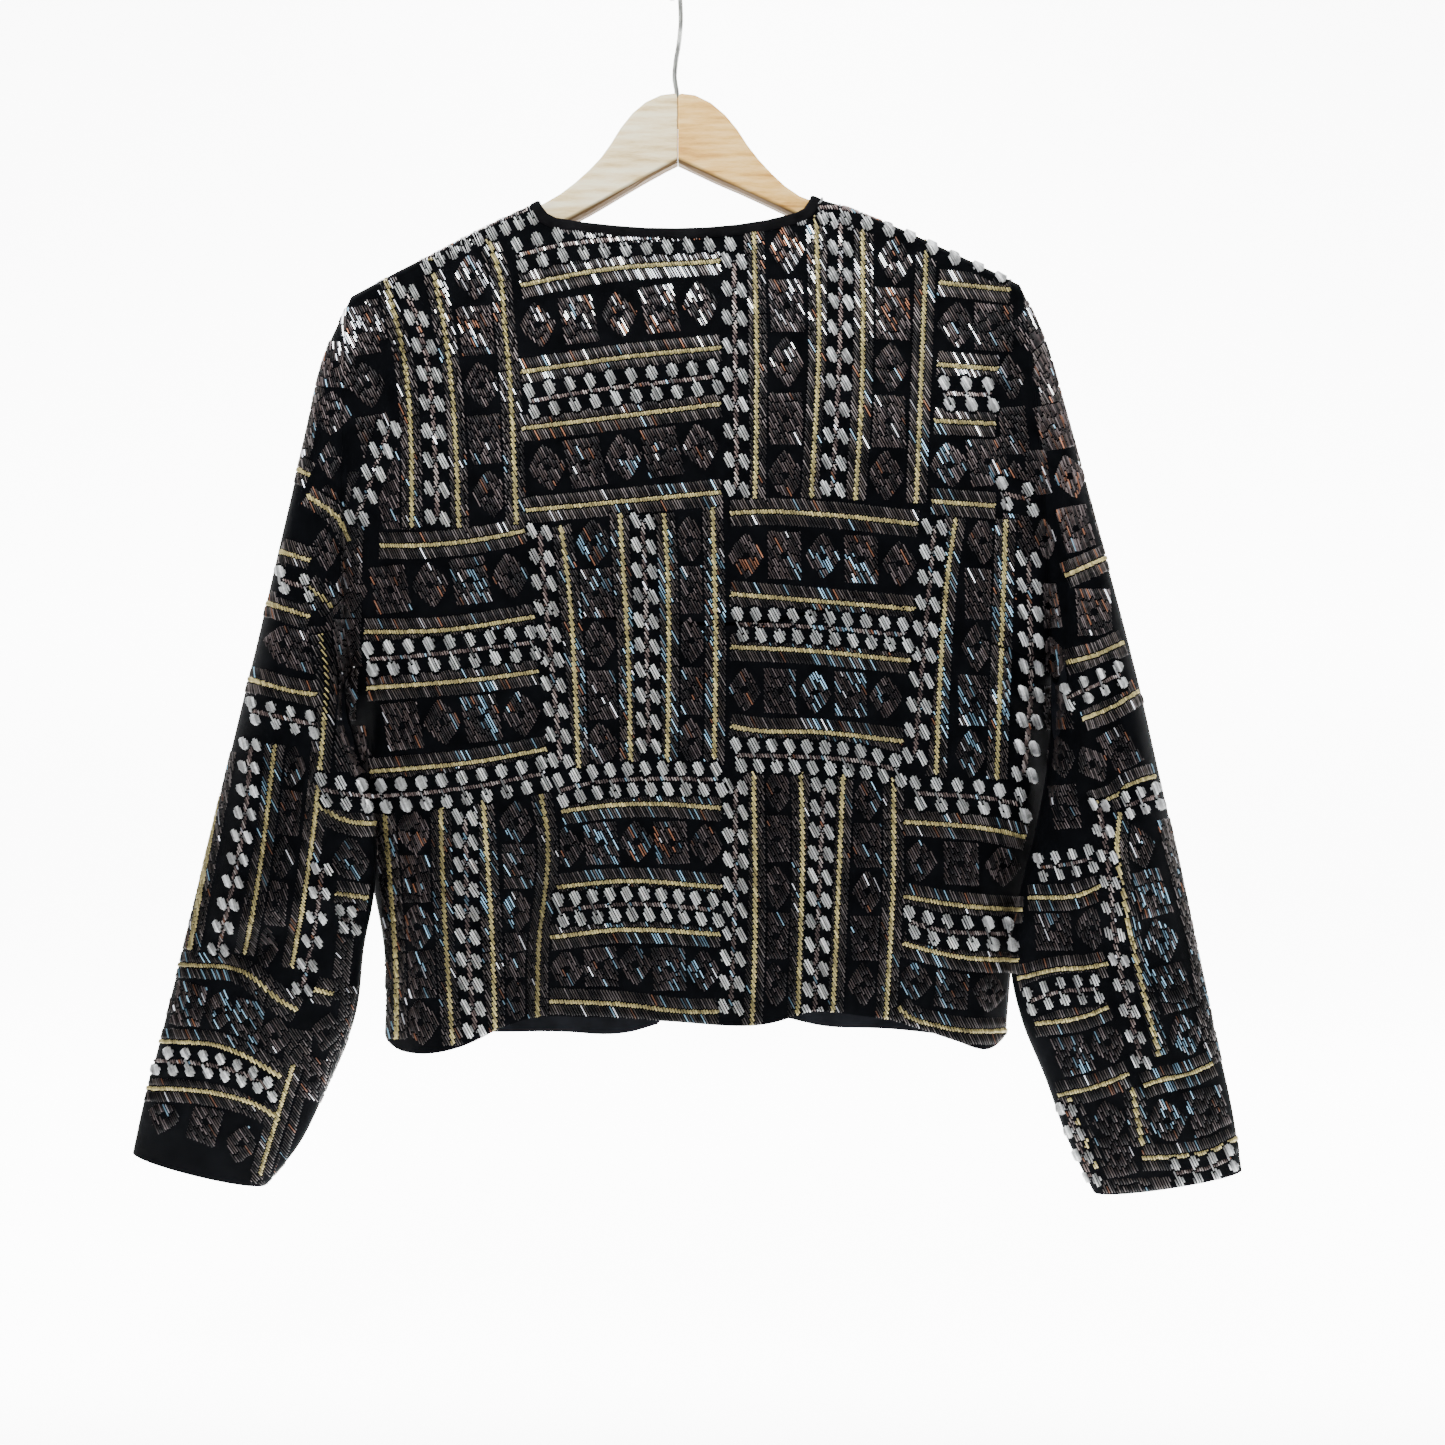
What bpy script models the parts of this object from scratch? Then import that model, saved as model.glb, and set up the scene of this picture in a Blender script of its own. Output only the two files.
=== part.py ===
"""A short collarless beaded jacket that hangs, open, on a flat wooden hanger.

Metres, +Z up. The origin is the inside top of the hook's bend, where a rail holds it. The jacket's back
faces -Y and +X is the wearer's right. Sizes below are millimetres; each mesh is scaled to metres as it is made.
"""

from collections import namedtuple
from math import cos, hypot, pi, sin

import bmesh
import bpy
import numpy as np
from mathutils import Vector

MM = 0.001

# Cloth
WALL = 2.0  # the backing with its beads, and the lining inside it
SEAM = 0.3  # between two pieces that are sewn together
LINING_WALL = 1.0
LINING_GAP = 0.3  # between the lining and the panel that backs it

# Body
BACK_DEPTH = 33.0  # from the hanger's plane to the back's outside, below the chest
FRONT_DEPTH = 34.0
RIDGE_ACROSS = 10.5  # the rounding of the shoulder over the hanger, front to back
RIDGE_DOWN = 8.0  # the same, downwards
CHEST_DROP = 170.0  # the depth is reached this far below the shoulder
SIDE_ROUND = 120.0  # the width over which a side turns from back to front
RIDGE_SLOPE = 0.47  # of the shoulder seam's line, carried on over the neck to a flat top
RIDGE_TOP = -134.0
SIDE_EASE = 80.0  # the width over which the side's fold comes back to the hanger's plane
CALM_SIDE = 30.0  # folds fade out this near a side edge, and near the ridge
CALM_RIDGE = 40.0
SEAM_SLANT = 0.45  # radians from level, of the shoulder seams
UNDERARM_SHARE = 0.5  # the share of the side edge that is side seam, from the hem up
BACK_NECK_SHARES = (7 / 24, 17 / 24)  # where the neck starts and ends along the back's top edge
FRONT_NECK_SHARE = 0.5
NECK_TURN = 0.035  # the share of the top edge over which the neck turns down off the hanger

# Binding
BINDING_WIDTH = 6.0
BINDING_GAP = 0.4
BINDING_WALL = 2.6
BINDING_PROUD = 0.6  # how much further it stands outside the wall than inside

# Hanger
HANGER_HALF = 5.2
HANGER_ROUND = 3.4
HANGER_DROP = 1.4  # between the cloth's inside and the arm under it
BORE_RADIUS = 2.2
BORE_DEPTH = 24.0
HUMP_TOP = -83.5

# Hook
WIRE_RADIUS = 1.7
LOOP_RADIUS = 18.0  # inside the bend
HOOK_TURN = 83.0  # degrees between the hook's plane and the hanger's

Edge = namedtuple("Edge", "x z mid")  # mid is how far the fold lies off the hanger's plane, away from the back
Ring = namedtuple("Ring", "outer_x outer_z inner_x inner_z half outer_mid inner_mid")
Fold = namedtuple("Fold", "x1 z1 x2 z2 width height")
Arm = namedtuple("Arm", "x top under")
Wire = namedtuple("Wire", "lean aside z")  # lean is along X, and aside is along the hook's own plane

# Side edges from the hem up to the underarm. Below the underarm the sleeve hangs on the back's side of them.
SIDE_LEFT = [
    Edge(-203, -731, 0),
    Edge(-202, -703, 0),
    Edge(-205, -668, 3),
    Edge(-213, -636, 9),
    Edge(-225, -590, 15),
    Edge(-234, -548, 18),
    Edge(-235, -515, 17),
    Edge(-236, -494, 12),
    Edge(-224, -478, 0),
]
SIDE_RIGHT = [
    Edge(227, -730, 0),
    Edge(229, -705, 0),
    Edge(232, -682, 3),
    Edge(244, -640, 10),
    Edge(257, -600, 15),
    Edge(266, -556, 18),
    Edge(268, -520, 18),
    Edge(264, -498, 14),
    Edge(254, -474, 0),
]
SHOULDER_LEFT = [(-223.5, -222), (-192, -205), (-157, -187.5), (-123, -170), (-101, -160)]
SHOULDER_RIGHT = [(98, -156), (119, -162), (153, -176), (188, -192), (216, -205), (234, -214)]
BACK_NECK = [
    SHOULDER_LEFT[-1],
    (-97.5, -166),
    (-90, -171),
    (-72, -175.5),
    (-43, -180),
    (-3, -182),
    (30, -180.5),
    (56, -177),
    (76, -171.5),
    (89, -167),
    (95, -162),
    SHOULDER_RIGHT[0],
]
BACK_HEM = [
    SIDE_LEFT[0][:2],
    (-190, -737),
    (-174, -737),
    (-148, -733),
    (-117, -720),
    (-88, -711),
    (-56, -710),
    (-3, -714),
    (58, -716),
    (90, -709),
    (113, -708),
    (140, -712),
    (163, -720),
    (188, -729),
    (213, -736),
    SIDE_RIGHT[0][:2],
]

# Centre front edges from the rounded corner at the hem up to the neck, and the front hems from the side to it
FRONT_EDGE_LEFT = [(-16, -733), (-6, -719), (-5, -690), (-8, -560), (-8, -400), (-5, -250)]
FRONT_EDGE_RIGHT = [(75, -728), (65, -714), (61, -690), (42, -560), (22, -400), (5, -250)]
FRONT_HEM_LEFT = [SIDE_LEFT[0][:2], (-182, -737), (-140, -738), (-80, -738), (-34, -738), FRONT_EDGE_LEFT[0]]
FRONT_HEM_RIGHT = [SIDE_RIGHT[0][:2], (210, -736), (172, -738), (130, -735), (94, -732), FRONT_EDGE_RIGHT[0]]

# Sleeves from the armhole to the cuff
SLEEVE_LEFT = [
    Ring(-223.5, -222, -224, -478, 24, 0, 0),
    Ring(-240, -258, -228, -489, 26, 0, -6),
    Ring(-253, -315, -227, -503, 27, -2, -16),
    Ring(-267, -380, -221, -524, 28, -5, -25),
    Ring(-281, -447, -208, -552, 29, -9, -31),
    Ring(-296, -512, -199, -588, 28, -12, -31),
    Ring(-310, -573, -201, -630, 27, -14, -28),
    Ring(-325, -637, -209, -668, 25, -16, -24),
    Ring(-339, -692, -216, -716, 22, -16, -21),
    Ring(-350, -735, -236, -764, 19, -16, -18),
    Ring(-360, -772, -255, -802, 16, -16, -16),
    Ring(-368, -806, -277, -829, 13, -15, -15),
]
SLEEVE_RIGHT = [
    Ring(234, -214, 254, -474, 24, 0, 0),
    Ring(249, -247, 258, -488, 26, 0, -6),
    Ring(263, -296, 257, -503, 27, -2, -16),
    Ring(278, -354, 253, -524, 28, -5, -25),
    Ring(293, -414, 248, -550, 29, -9, -31),
    Ring(309, -478, 240, -586, 28, -12, -31),
    Ring(323, -541, 229, -630, 27, -14, -28),
    Ring(337, -604, 223, -676, 25, -16, -24),
    Ring(351, -668, 231, -716, 22, -16, -21),
    Ring(364, -728, 248, -757, 19, -16, -18),
    Ring(375, -777, 264, -800, 16, -16, -16),
    Ring(382, -818, 281, -834, 13, -15, -15),
]

# The largest folds, as ridges (height above 0) and valleys along a line on the cloth
BACK_FOLDS = [
    Fold(-118, -590, -108, -725, 26, -7),
    Fold(-160, -600, -168, -740, 30, 6),
    Fold(-60, -620, -58, -715, 34, 4),
    Fold(118, -600, 124, -715, 30, 6),
    Fold(92, -590, 92, -715, 24, -5),
    Fold(190, -560, 208, -740, 26, 5),
    Fold(-205, -250, -196, -430, 20, -5),
    Fold(-190, -470, -213, -560, 18, 5),
    Fold(214, -250, 228, -420, 20, -5),
    Fold(205, -460, 243, -570, 20, 6),
]
FRONT_FOLDS = [
    Fold(-150, -560, -156, -740, 30, 6),
    Fold(-70, -540, -62, -740, 32, -5),
    Fold(-200, -260, -196, -430, 20, -5),
    Fold(150, -560, 160, -740, 30, 6),
    Fold(105, -540, 112, -740, 28, -5),
    Fold(216, -250, 226, -420, 20, -5),
]
SLEEVE_FOLDS = [
    Fold(-240, -300, -246, -560, 22, -6),
    Fold(-305, -655, -225, -625, 18, 5),
    Fold(-325, -690, -255, -655, 16, -4),
    Fold(-232, -520, -222, -640, 16, 5),
    Fold(268, -320, 280, -560, 22, -6),
    Fold(262, -560, 300, -640, 18, 5),
    Fold(245, -640, 320, -680, 16, -4),
    Fold(300, -470, 322, -610, 22, 4),
]

# Hanger arms from the middle out: the top follows the shoulder seam once it is under the cloth
ARM_LEFT = [
    Arm(0, HUMP_TOP, -132),
    Arm(-14, -85.5, -139),
    Arm(-28, -94, -147),
    Arm(-40, -108, -154),
    Arm(-50, -124, -160),
    Arm(-64, -139, -168),
    Arm(-84, -154.8, -178),
]
ARM_RIGHT = [
    Arm(0, HUMP_TOP, -132),
    Arm(14, -85.5, -138.5),
    Arm(28, -94, -145),
    Arm(40, -107, -150),
    Arm(50, -122, -154.5),
    Arm(64, -138, -161),
    Arm(82, -153.2, -170),
]
ARM_THICK = {"hanger_left": 24.0, "hanger_right": 19.5}  # top to underside, where it goes under the cloth
ARM_THICK_END = 18.5
ARM_END = 3.0  # from the arm's end to the shoulder's tip

# The wire up from the bore to where its loop starts, and its tip
HOOK_SHANK = [
    Wire(-0.6, 0, -106),
    Wire(-0.6, 0, -90),
    Wire(-0.8, 0, -82),
    Wire(-2.3, 0, -72),
    Wire(-1.6, 0, -61),
    Wire(-0.4, 2.5, -50),
    Wire(-0.6, 9.5, -39),
]
HOOK_TIP = Wire(-1.2, -16.5, -29)


def through(rows, share):
    """Points at these shares of the way along a smooth line through the rows."""
    rows = np.array(rows, float)
    share = np.asarray(share, float)
    at = np.concatenate([[0], np.cumsum(np.linalg.norm(np.diff(rows, axis=0), axis=1))])
    at /= at[-1]
    slope = np.gradient(rows, at, axis=0)
    i = np.clip(np.searchsorted(at, share, side="right") - 1, 0, len(at) - 2)
    gap = (at[i + 1] - at[i])[..., None]
    s = (share - at[i])[..., None] / gap
    return (
        (1 + 2 * s) * (1 - s) ** 2 * rows[i]
        + s * (1 - s) ** 2 * gap * slope[i]
        + s**2 * (3 - 2 * s) * rows[i + 1]
        + s**2 * (s - 1) * gap * slope[i + 1]
    )


def ease(share):
    """0 to 1 with flat ends."""
    s = np.clip(share, 0, 1)
    return s * s * (3 - 2 * s)


def quarter(share):
    """0 to 1 as a quarter circle, steep at the start."""
    return np.sqrt(1 - (1 - np.clip(share, 0, 1)) ** 2)


def raised(folds, x, z):
    """How far the folds lift the cloth at x, z."""
    total = np.zeros(np.broadcast(x, z).shape)
    for fold in folds:
        run = np.array([fold.x2 - fold.x1, fold.z2 - fold.z1], float)
        length = hypot(*run)
        along = ((x - fold.x1) * run[0] + (z - fold.z1) * run[1]) / length**2
        aside = ((x - fold.x1) * run[1] - (z - fold.z1) * run[0]) / length
        ends = ease(along * 3) * ease((1.25 - along) * 3)
        total += fold.height * np.exp(-((aside / fold.width) ** 2) * 2) * ends
    return total


# The garment's form. Each surface is a function of its shares across and up, and of inset, how far inside the
# outer face a point lies.


def ring_at(rows, share):
    """The sleeve's ring at this share of its length."""
    return Ring(*np.moveaxis(through(rows, share), -1, 0))


def round_ring(ring, angle, inset):
    """A point of a ring: angle 0 at its outer end, pi at its inner end, and positive for the front half."""
    dx, dz = ring.inner_x - ring.outer_x, ring.inner_z - ring.outer_z
    length = np.hypot(dx, dz)
    share = inset / length + (1 - 2 * inset / length) * (1 - np.cos(angle)) / 2
    half = np.maximum((ring.half - inset) * np.abs(np.sin(angle)) ** 0.85, SEAM / 2)
    mid = ring.outer_mid + (ring.inner_mid - ring.outer_mid) * share
    return ring.outer_x + dx * share, mid + half * np.sign(angle), ring.outer_z + dz * share


def side_edge(side, rows, share, inset, inward):
    """x, z and the depths of a body panel's side edge: side seam, then armhole. inward is +1 or -1 along X."""
    share = np.asarray(share, float)
    seam = through(side, share / UNDERARM_SHARE)
    angle = pi * np.clip((1 - share) / (1 - UNDERARM_SHARE), 0, 1)
    hole_x, depth, hole_z = round_ring(Ring(*rows[0]), angle, inset)
    at_hole = share > UNDERARM_SHARE
    x = np.where(at_hole, hole_x + inward * SEAM / 2, seam[..., 0] + inward * inset)
    z = np.where(at_hole, hole_z, seam[..., 1])
    return x, z, np.where(at_hole, depth, SEAM / 2), np.where(at_hole, 0, seam[..., 2])


def coons(across, up, bottom, top, left, right):
    """The flat patch between four edges, each an (x, z) pair of arrays."""
    corners = [bottom(np.array(s)) for s in (0.0, 1.0)] + [top(np.array(s)) for s in (0.0, 1.0)]
    blend = []
    for k in range(2):
        edges = (1 - up) * bottom(across)[k] + up * top(across)[k]
        edges = edges + (1 - across) * left(up)[k] + across * right(up)[k]
        flat = (1 - up) * ((1 - across) * corners[0][k] + across * corners[1][k])
        flat = flat + up * ((1 - across) * corners[2][k] + across * corners[3][k])
        blend.append(edges - flat)
    return blend


def ridge_height(x):
    """The height of the line that the cloth hangs from: the shoulder seams, and a flat top between them."""
    left = np.interp(x, *zip(*SHOULDER_LEFT))
    right = np.interp(x, *zip(*SHOULDER_RIGHT))
    left = left + RIDGE_SLOPE * np.maximum(x - SHOULDER_LEFT[-1][0], 0)
    right = right + RIDGE_SLOPE * np.maximum(SHOULDER_RIGHT[0][0] - x, 0)
    return np.minimum(np.minimum(left, right), RIDGE_TOP)


def ridge(drop, depth):
    """The body's depth at this drop below the ridge: rounded over the hanger, then fuller down to the chest."""
    over = RIDGE_ACROSS * quarter(drop / RIDGE_DOWN)
    return over + (depth - RIDGE_ACROSS) * ease(drop / CHEST_DROP)


def shoulder(line, share, inset):
    """x and z of a shoulder seam."""
    point = through(line, share)
    return point[..., 0], point[..., 1] - inset


def back_top(share, inset):
    """x and z of the back's top edge, from the left shoulder's tip to the right one's."""
    first, last = BACK_NECK_SHARES
    left = shoulder(SHOULDER_LEFT, np.clip(share / first, 0, 1), inset)
    right = shoulder(SHOULDER_RIGHT, np.clip((share - last) / (1 - last), 0, 1), inset)
    neck = through(BACK_NECK, np.clip((share - first) / (last - first), 0, 1))
    under = BINDING_WIDTH + SEAM
    pick = [share < first, share > last]
    x = np.select(pick, [left[0], right[0]], neck[..., 0])
    reach = np.minimum(share - first, last - share) / NECK_TURN
    lowered = neck[..., 1] - under * ease(reach) - inset * (1 - ease(reach))
    return x, np.select(pick, [left[1], right[1]], lowered)


def back_panel(across, up, inset):
    """The back: across from the left edge to the right one, up from the hem."""
    across, up = np.asarray(across, float), np.asarray(up, float)

    def left(share):
        return side_edge(SIDE_LEFT, SLEEVE_LEFT, share, inset, 1)

    def right(share):
        return side_edge(SIDE_RIGHT, SLEEVE_RIGHT, share, inset, -1)

    def bottom(share):
        point = through(BACK_HEM, share)
        return point[..., 0] + inset * (1 - 2 * share), point[..., 1]

    def top(share):
        return back_top(share, inset)

    x, z = coons(across, up, bottom, top, left, right)
    drop = np.maximum(ridge_height(x) - inset - z, 0)
    full = ridge(drop, BACK_DEPTH)
    edges = [left(up), right(up)]
    width = np.stack([(x - edges[0][0]), (edges[1][0] - x)])
    near = np.argmin(width, axis=0)
    apart = np.maximum(np.min(width, axis=0), 0)
    held = np.where(near == 0, edges[0][2], edges[1][2])
    mid = np.where(near == 0, edges[0][3], edges[1][3]) * (1 - ease(apart / SIDE_EASE))
    turn = quarter(apart / SIDE_ROUND)
    depth = held * (1 - turn) + np.maximum(full - inset, SEAM / 2) * turn
    calm = ease(apart / CALM_SIDE) * ease(drop / CALM_RIDGE)
    return x, mid - depth - raised(BACK_FOLDS, x, z) * calm, z


def front_panel(across, up, inset, left_side):
    """A front: across from the side edge to the centre front edge, up from the hem."""
    across, up = np.asarray(across, float), np.asarray(up, float)
    side, rows = (SIDE_LEFT, SLEEVE_LEFT) if left_side else (SIDE_RIGHT, SLEEVE_RIGHT)
    line = SHOULDER_LEFT if left_side else SHOULDER_RIGHT[::-1]
    hem, edge = (FRONT_HEM_LEFT, FRONT_EDGE_LEFT) if left_side else (FRONT_HEM_RIGHT, FRONT_EDGE_RIGHT)
    inward = 1 if left_side else -1
    neck_x, neck_z = line[-1]
    low_x, low_z = edge[-1]

    def outer(share):
        return side_edge(side, rows, share, inset, inward)

    def centre(share):
        return np.moveaxis(through(edge, share), -1, 0)

    def bottom(share):
        point = through(hem, share)
        return point[..., 0] + inward * inset * (1 - share), point[..., 1]

    def top(share):
        seam_x, seam_z = shoulder(line, np.clip(share / FRONT_NECK_SHARE, 0, 1), inset)
        turn = pi / 2 * np.clip((share - FRONT_NECK_SHARE) / (1 - FRONT_NECK_SHARE), 0, 1)
        reach = ease((share - FRONT_NECK_SHARE) / (2 * NECK_TURN))
        x = low_x + (neck_x - low_x) * np.cos(turn)
        z = neck_z + (low_z - neck_z) * np.sin(turn) - inset * (1 - reach)
        pick = share <= FRONT_NECK_SHARE
        return np.where(pick, seam_x, x), np.where(pick, seam_z, z)

    x, z = coons(across, up, bottom, top, outer, centre)
    drop = np.maximum(ridge_height(x) - inset - z, 0)
    full = ridge(drop, FRONT_DEPTH)
    edge_x, _, held, mid = outer(up)
    apart = np.maximum(inward * (x - edge_x), 0)
    mid = mid * (1 - ease(apart / SIDE_EASE))
    turn = quarter(apart / SIDE_ROUND)
    depth = held * (1 - turn) + np.maximum(full - inset, SEAM / 2) * turn
    calm = ease(apart / CALM_SIDE) * ease(drop / CALM_RIDGE)
    return x, mid + depth + raised(FRONT_FOLDS, x, z) * calm, z


def sleeve(across, up, inset, rows):
    """A sleeve: across once round from its seam at the inner edge, up from the armhole down to the cuff."""
    across, up = np.asarray(across, float), np.asarray(up, float)
    away = -1 if rows[0].outer_x < 0 else 1
    angle = pi * (2 * across - 1)
    angle = np.where(np.abs(angle) < 1e-6, 1e-6, angle)
    x, y, z = round_ring(ring_at(rows, up), angle, inset)
    front = np.where(angle > 0, 1, -1)
    calm = np.abs(np.sin(angle)) * ease(up / 0.06)
    return x + away * SEAM / 2 * (1 - ease(up / 0.02)), y + front * raised(SLEEVE_FOLDS, x, z) * calm, z


def outward(surface, across, up):
    """The unit normal of a panel's outer face, by a small step each way."""
    step = 0.002
    low = [max(across - step, 0), max(up - step, 0)]
    high = [min(across + step, 1), min(up + step, 1)]
    along = Vector(np.array(surface(high[0], up, 0)) - np.array(surface(low[0], up, 0)))
    upward = Vector(np.array(surface(across, high[1], 0)) - np.array(surface(across, low[1], 0)))
    return along.cross(upward).normalized()


def material(name, colour, roughness, metallic=0.0):
    made = bpy.data.materials.new(name)
    made.use_nodes = True
    shader = made.node_tree.nodes["Principled BSDF"]
    shader.inputs["Base Color"].default_value = (*colour, 1)
    shader.inputs["Roughness"].default_value = roughness
    shader.inputs["Metallic"].default_value = metallic
    made.diffuse_color = (*colour, 1)
    return made


def named_object(name, mesh, finish, group):
    made = bpy.data.objects.new(name, mesh)
    mesh.materials.append(finish)
    group.objects.link(made)
    return made


def slab(name, across, up, place, finish, group):
    """A flat slab, one cell thick, bent into its place. place takes the shares across and up and 0 or 1 for the
    outer or inner face, as arrays, and gives x, y, z in millimetres."""
    mesh = bmesh.new()
    bmesh.ops.create_grid(mesh, x_segments=len(across) - 1, y_segments=len(up) - 1, size=0.5)
    made = bmesh.ops.extrude_face_region(mesh, geom=mesh.faces[:], use_keep_orig=True)["geom"]
    inside = [v for v in made if isinstance(v, bmesh.types.BMVert)]
    bmesh.ops.translate(mesh, verts=inside, vec=(0, 0, 1))
    bmesh.ops.triangulate(mesh, faces=mesh.faces[:], quad_method="FIXED")
    bmesh.ops.recalc_face_normals(mesh, faces=mesh.faces[:])
    flat = np.array([v.co for v in mesh.verts])
    column = np.rint((flat[:, 0] + 0.5) * (len(across) - 1)).astype(int)
    row = np.rint((flat[:, 1] + 0.5) * (len(up) - 1)).astype(int)
    placed = np.stack(place(np.array(across)[column], np.array(up)[row], np.rint(flat[:, 2])), axis=1)
    for vertex, point in zip(mesh.verts, placed):
        vertex.co = Vector(point) * MM
    if mesh.calc_volume(signed=True) < 0:
        bmesh.ops.reverse_faces(mesh, faces=mesh.faces[:])
    data = bpy.data.meshes.new(name)
    mesh.to_mesh(data)
    mesh.free()
    data.shade_smooth()
    data.set_sharp_from_angle(angle=0.9)
    return named_object(name, data, finish, group)


def even(count, *more):
    """Shares from 0 to 1 in even steps, and any more that are named."""
    return sorted({*(i / count for i in range(count + 1)), *more})


# Closer rows where the shoulder rounds over the hanger, and closer columns where the neck turns down off it
BODY_ROWS = sorted({*even(22), 0.993, 0.9835, 0.966, 0.9465, 0.93} - {21 / 22})
NECK_STEPS = (0.006, 0.014, 0.026)
NECK_COLUMNS = [BACK_NECK_SHARES[0] + s for s in NECK_STEPS] + [BACK_NECK_SHARES[1] - s for s in NECK_STEPS]
BACK_COLUMNS = even(24, *NECK_COLUMNS)
FRONT_COLUMNS = even(12, *(FRONT_NECK_SHARE + 2 * s for s in NECK_STEPS))
LINING_COLUMNS = even(12)[1:]
LINING_ROWS = BODY_ROWS[:4]


def make_body(beaded, group):
    slab("back", BACK_COLUMNS, BODY_ROWS, lambda a, u, w: back_panel(a, u, w * WALL), beaded, group)
    for name, left_side in (("front_left", True), ("front_right", False)):

        def place(a, u, w, left_side=left_side):
            return front_panel(a, u, w * WALL, left_side)

        slab(name, FRONT_COLUMNS, BODY_ROWS, place, beaded, group)


def make_linings(black, group):
    """The lining inside each front, from just above its hem to where the back hides it."""

    def inside(across, up, inner, left_side):
        return front_panel(across, up, WALL + LINING_GAP + inner * LINING_WALL, left_side)

    for name, left_side in (("front_lining_left", True), ("front_lining_right", False)):
        slab(name, LINING_COLUMNS, LINING_ROWS, lambda a, u, w, s=left_side: inside(a, u, w, s), black, group)


def make_sleeves(beaded, group):
    for name, rows in (("sleeve_left", SLEEVE_LEFT), ("sleeve_right", SLEEVE_RIGHT)):

        def place(a, u, w, rows=rows):
            return sleeve(a, u, w * WALL, rows)

        slab(name, even(22), even(22, 0.02), place, beaded, group)


def neck_edge():
    """Stations round the neck from the left centre front, over the back, to the right one. Each is a point in the
    middle of the panel's wall at its neck edge, a point a little below it, and the way out of the wall."""
    stations = []

    def add(surface, across, out):
        normal = outward(surface, across, 0.995)
        normal *= 1 if normal.y * out > 0 else -1
        stations.append([surface(across, 1.0, WALL / 2), surface(across, 0.985, WALL / 2), normal])

    def add_at_seam(neck, next_out):
        """A station on the ridge, at a shoulder seam's neck end."""
        along = Vector((next_out[0] - neck[0], 0, next_out[1] - neck[1])).normalized()
        normal = Vector((-along.z, 0, along.x)) * (1 if along.x > 0 else -1)
        middle = Vector((neck[0], 0, neck[1])) - normal * (WALL / 2)
        stations.append([middle, middle + along, normal])

    neck_columns = [share for share in FRONT_COLUMNS if share > FRONT_NECK_SHARE]
    for share in reversed(neck_columns):
        add(lambda a, u, w: front_panel(a, u, w, True), share, 1)
    add_at_seam(SHOULDER_LEFT[-1], SHOULDER_LEFT[-2])
    for share in BACK_COLUMNS:
        if BACK_NECK_SHARES[0] < share < BACK_NECK_SHARES[1]:
            add(back_panel, share, -1)
    add_at_seam(SHOULDER_RIGHT[0], SHOULDER_RIGHT[1])
    for share in neck_columns:
        add(lambda a, u, w: front_panel(a, u, w, False), share, 1)
    return np.array(stations)


def eased(directions):
    """Unit directions, each turned half way to the mean of its neighbours."""
    padded = np.concatenate([directions[:1], directions, directions[-1:]])
    mixed = padded[:-2] + 2 * directions + padded[2:]
    return mixed / np.linalg.norm(mixed, axis=1)[:, None]


def make_binding(black, group):
    """The tape round the neck, on edge above the panels' neck edges."""
    middles, lower, normals = np.moveaxis(neck_edge(), 1, 0)
    normals = eased(normals)
    rises = np.cross(normals, np.gradient(middles, axis=0))
    rises *= np.sign(np.sum(rises * (middles - lower), axis=1))[:, None]
    rises = eased(rises / np.linalg.norm(rises, axis=1)[:, None])
    last = len(middles) - 1

    def place(across, up, inner):
        at = np.rint(across * last).astype(int)
        point = middles[at] + rises[at] * (BINDING_GAP + BINDING_WIDTH * up)[:, None]
        point = point + normals[at] * (BINDING_WALL * (0.5 - inner) + BINDING_PROUD)[:, None]
        return point[:, 0], point[:, 1], point[:, 2]

    slab("neck_binding", even(last), even(1), place, black, group)


def arm_rows(rows, line, thick):
    """The arm's rows, carried on under the shoulder seam to its end."""
    neck_x, tip_x = line[-1][0], line[0][0]
    out = 1 if tip_x > 0 else -1
    rows = list(rows)
    for share in (0.0, 0.25, 0.5, 0.75, 1.0):
        x = neck_x + (tip_x - out * ARM_END - neck_x) * share
        z = np.interp(out * x, *zip(*sorted((out * px, pz) for px, pz in line)))
        top = z - WALL / cos(SEAM_SLANT) - HANGER_DROP - 2.0 * ease(np.array(share * 3 - 2))
        rows.append(Arm(x, top, top - (thick + (ARM_THICK_END - thick) * share)))
    return rows


def make_hanger(wood, group, cutters):
    bore = bmesh.new()
    size = {"radius1": BORE_RADIUS * MM, "radius2": BORE_RADIUS * MM, "depth": 2 * BORE_DEPTH * MM}
    bmesh.ops.create_cone(bore, cap_ends=True, segments=16, **size)
    bmesh.ops.translate(bore, verts=bore.verts, vec=(0, 0, HUMP_TOP * MM))
    data = bpy.data.meshes.new("bore")
    bore.to_mesh(data)
    bore.free()
    cutter = bpy.data.objects.new("bore", data)
    cutter.location.x = HOOK_SHANK[0].lean * MM
    cutter.hide_render = True
    cutter.display_type = "WIRE"
    cutters.objects.link(cutter)
    for name, rows, line, out in (
        ("hanger_left", ARM_LEFT, SHOULDER_LEFT, -1),
        ("hanger_right", ARM_RIGHT, SHOULDER_RIGHT[::-1], 1),
    ):
        table = arm_rows(rows, line, ARM_THICK[name])

        def place(across, up, inner, table=table, out=out):
            row = through(table, across)
            x = row[:, 0] + out * SEAM / 2 * (across == 0)
            return x, HANGER_HALF * (2 * inner - 1), row[:, 2] + (row[:, 1] - row[:, 2]) * up

        half = slab(name, even(22), (0, 1), place, wood, group)
        rounding = half.modifiers.new("rounding", "BEVEL")
        rounding.width = HANGER_ROUND * MM
        rounding.segments = 2
        rounding.limit_method = "ANGLE"
        rounding.angle_limit = 1.2
        cut = half.modifiers.new("bore", "BOOLEAN")
        cut.object = cutter


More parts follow.
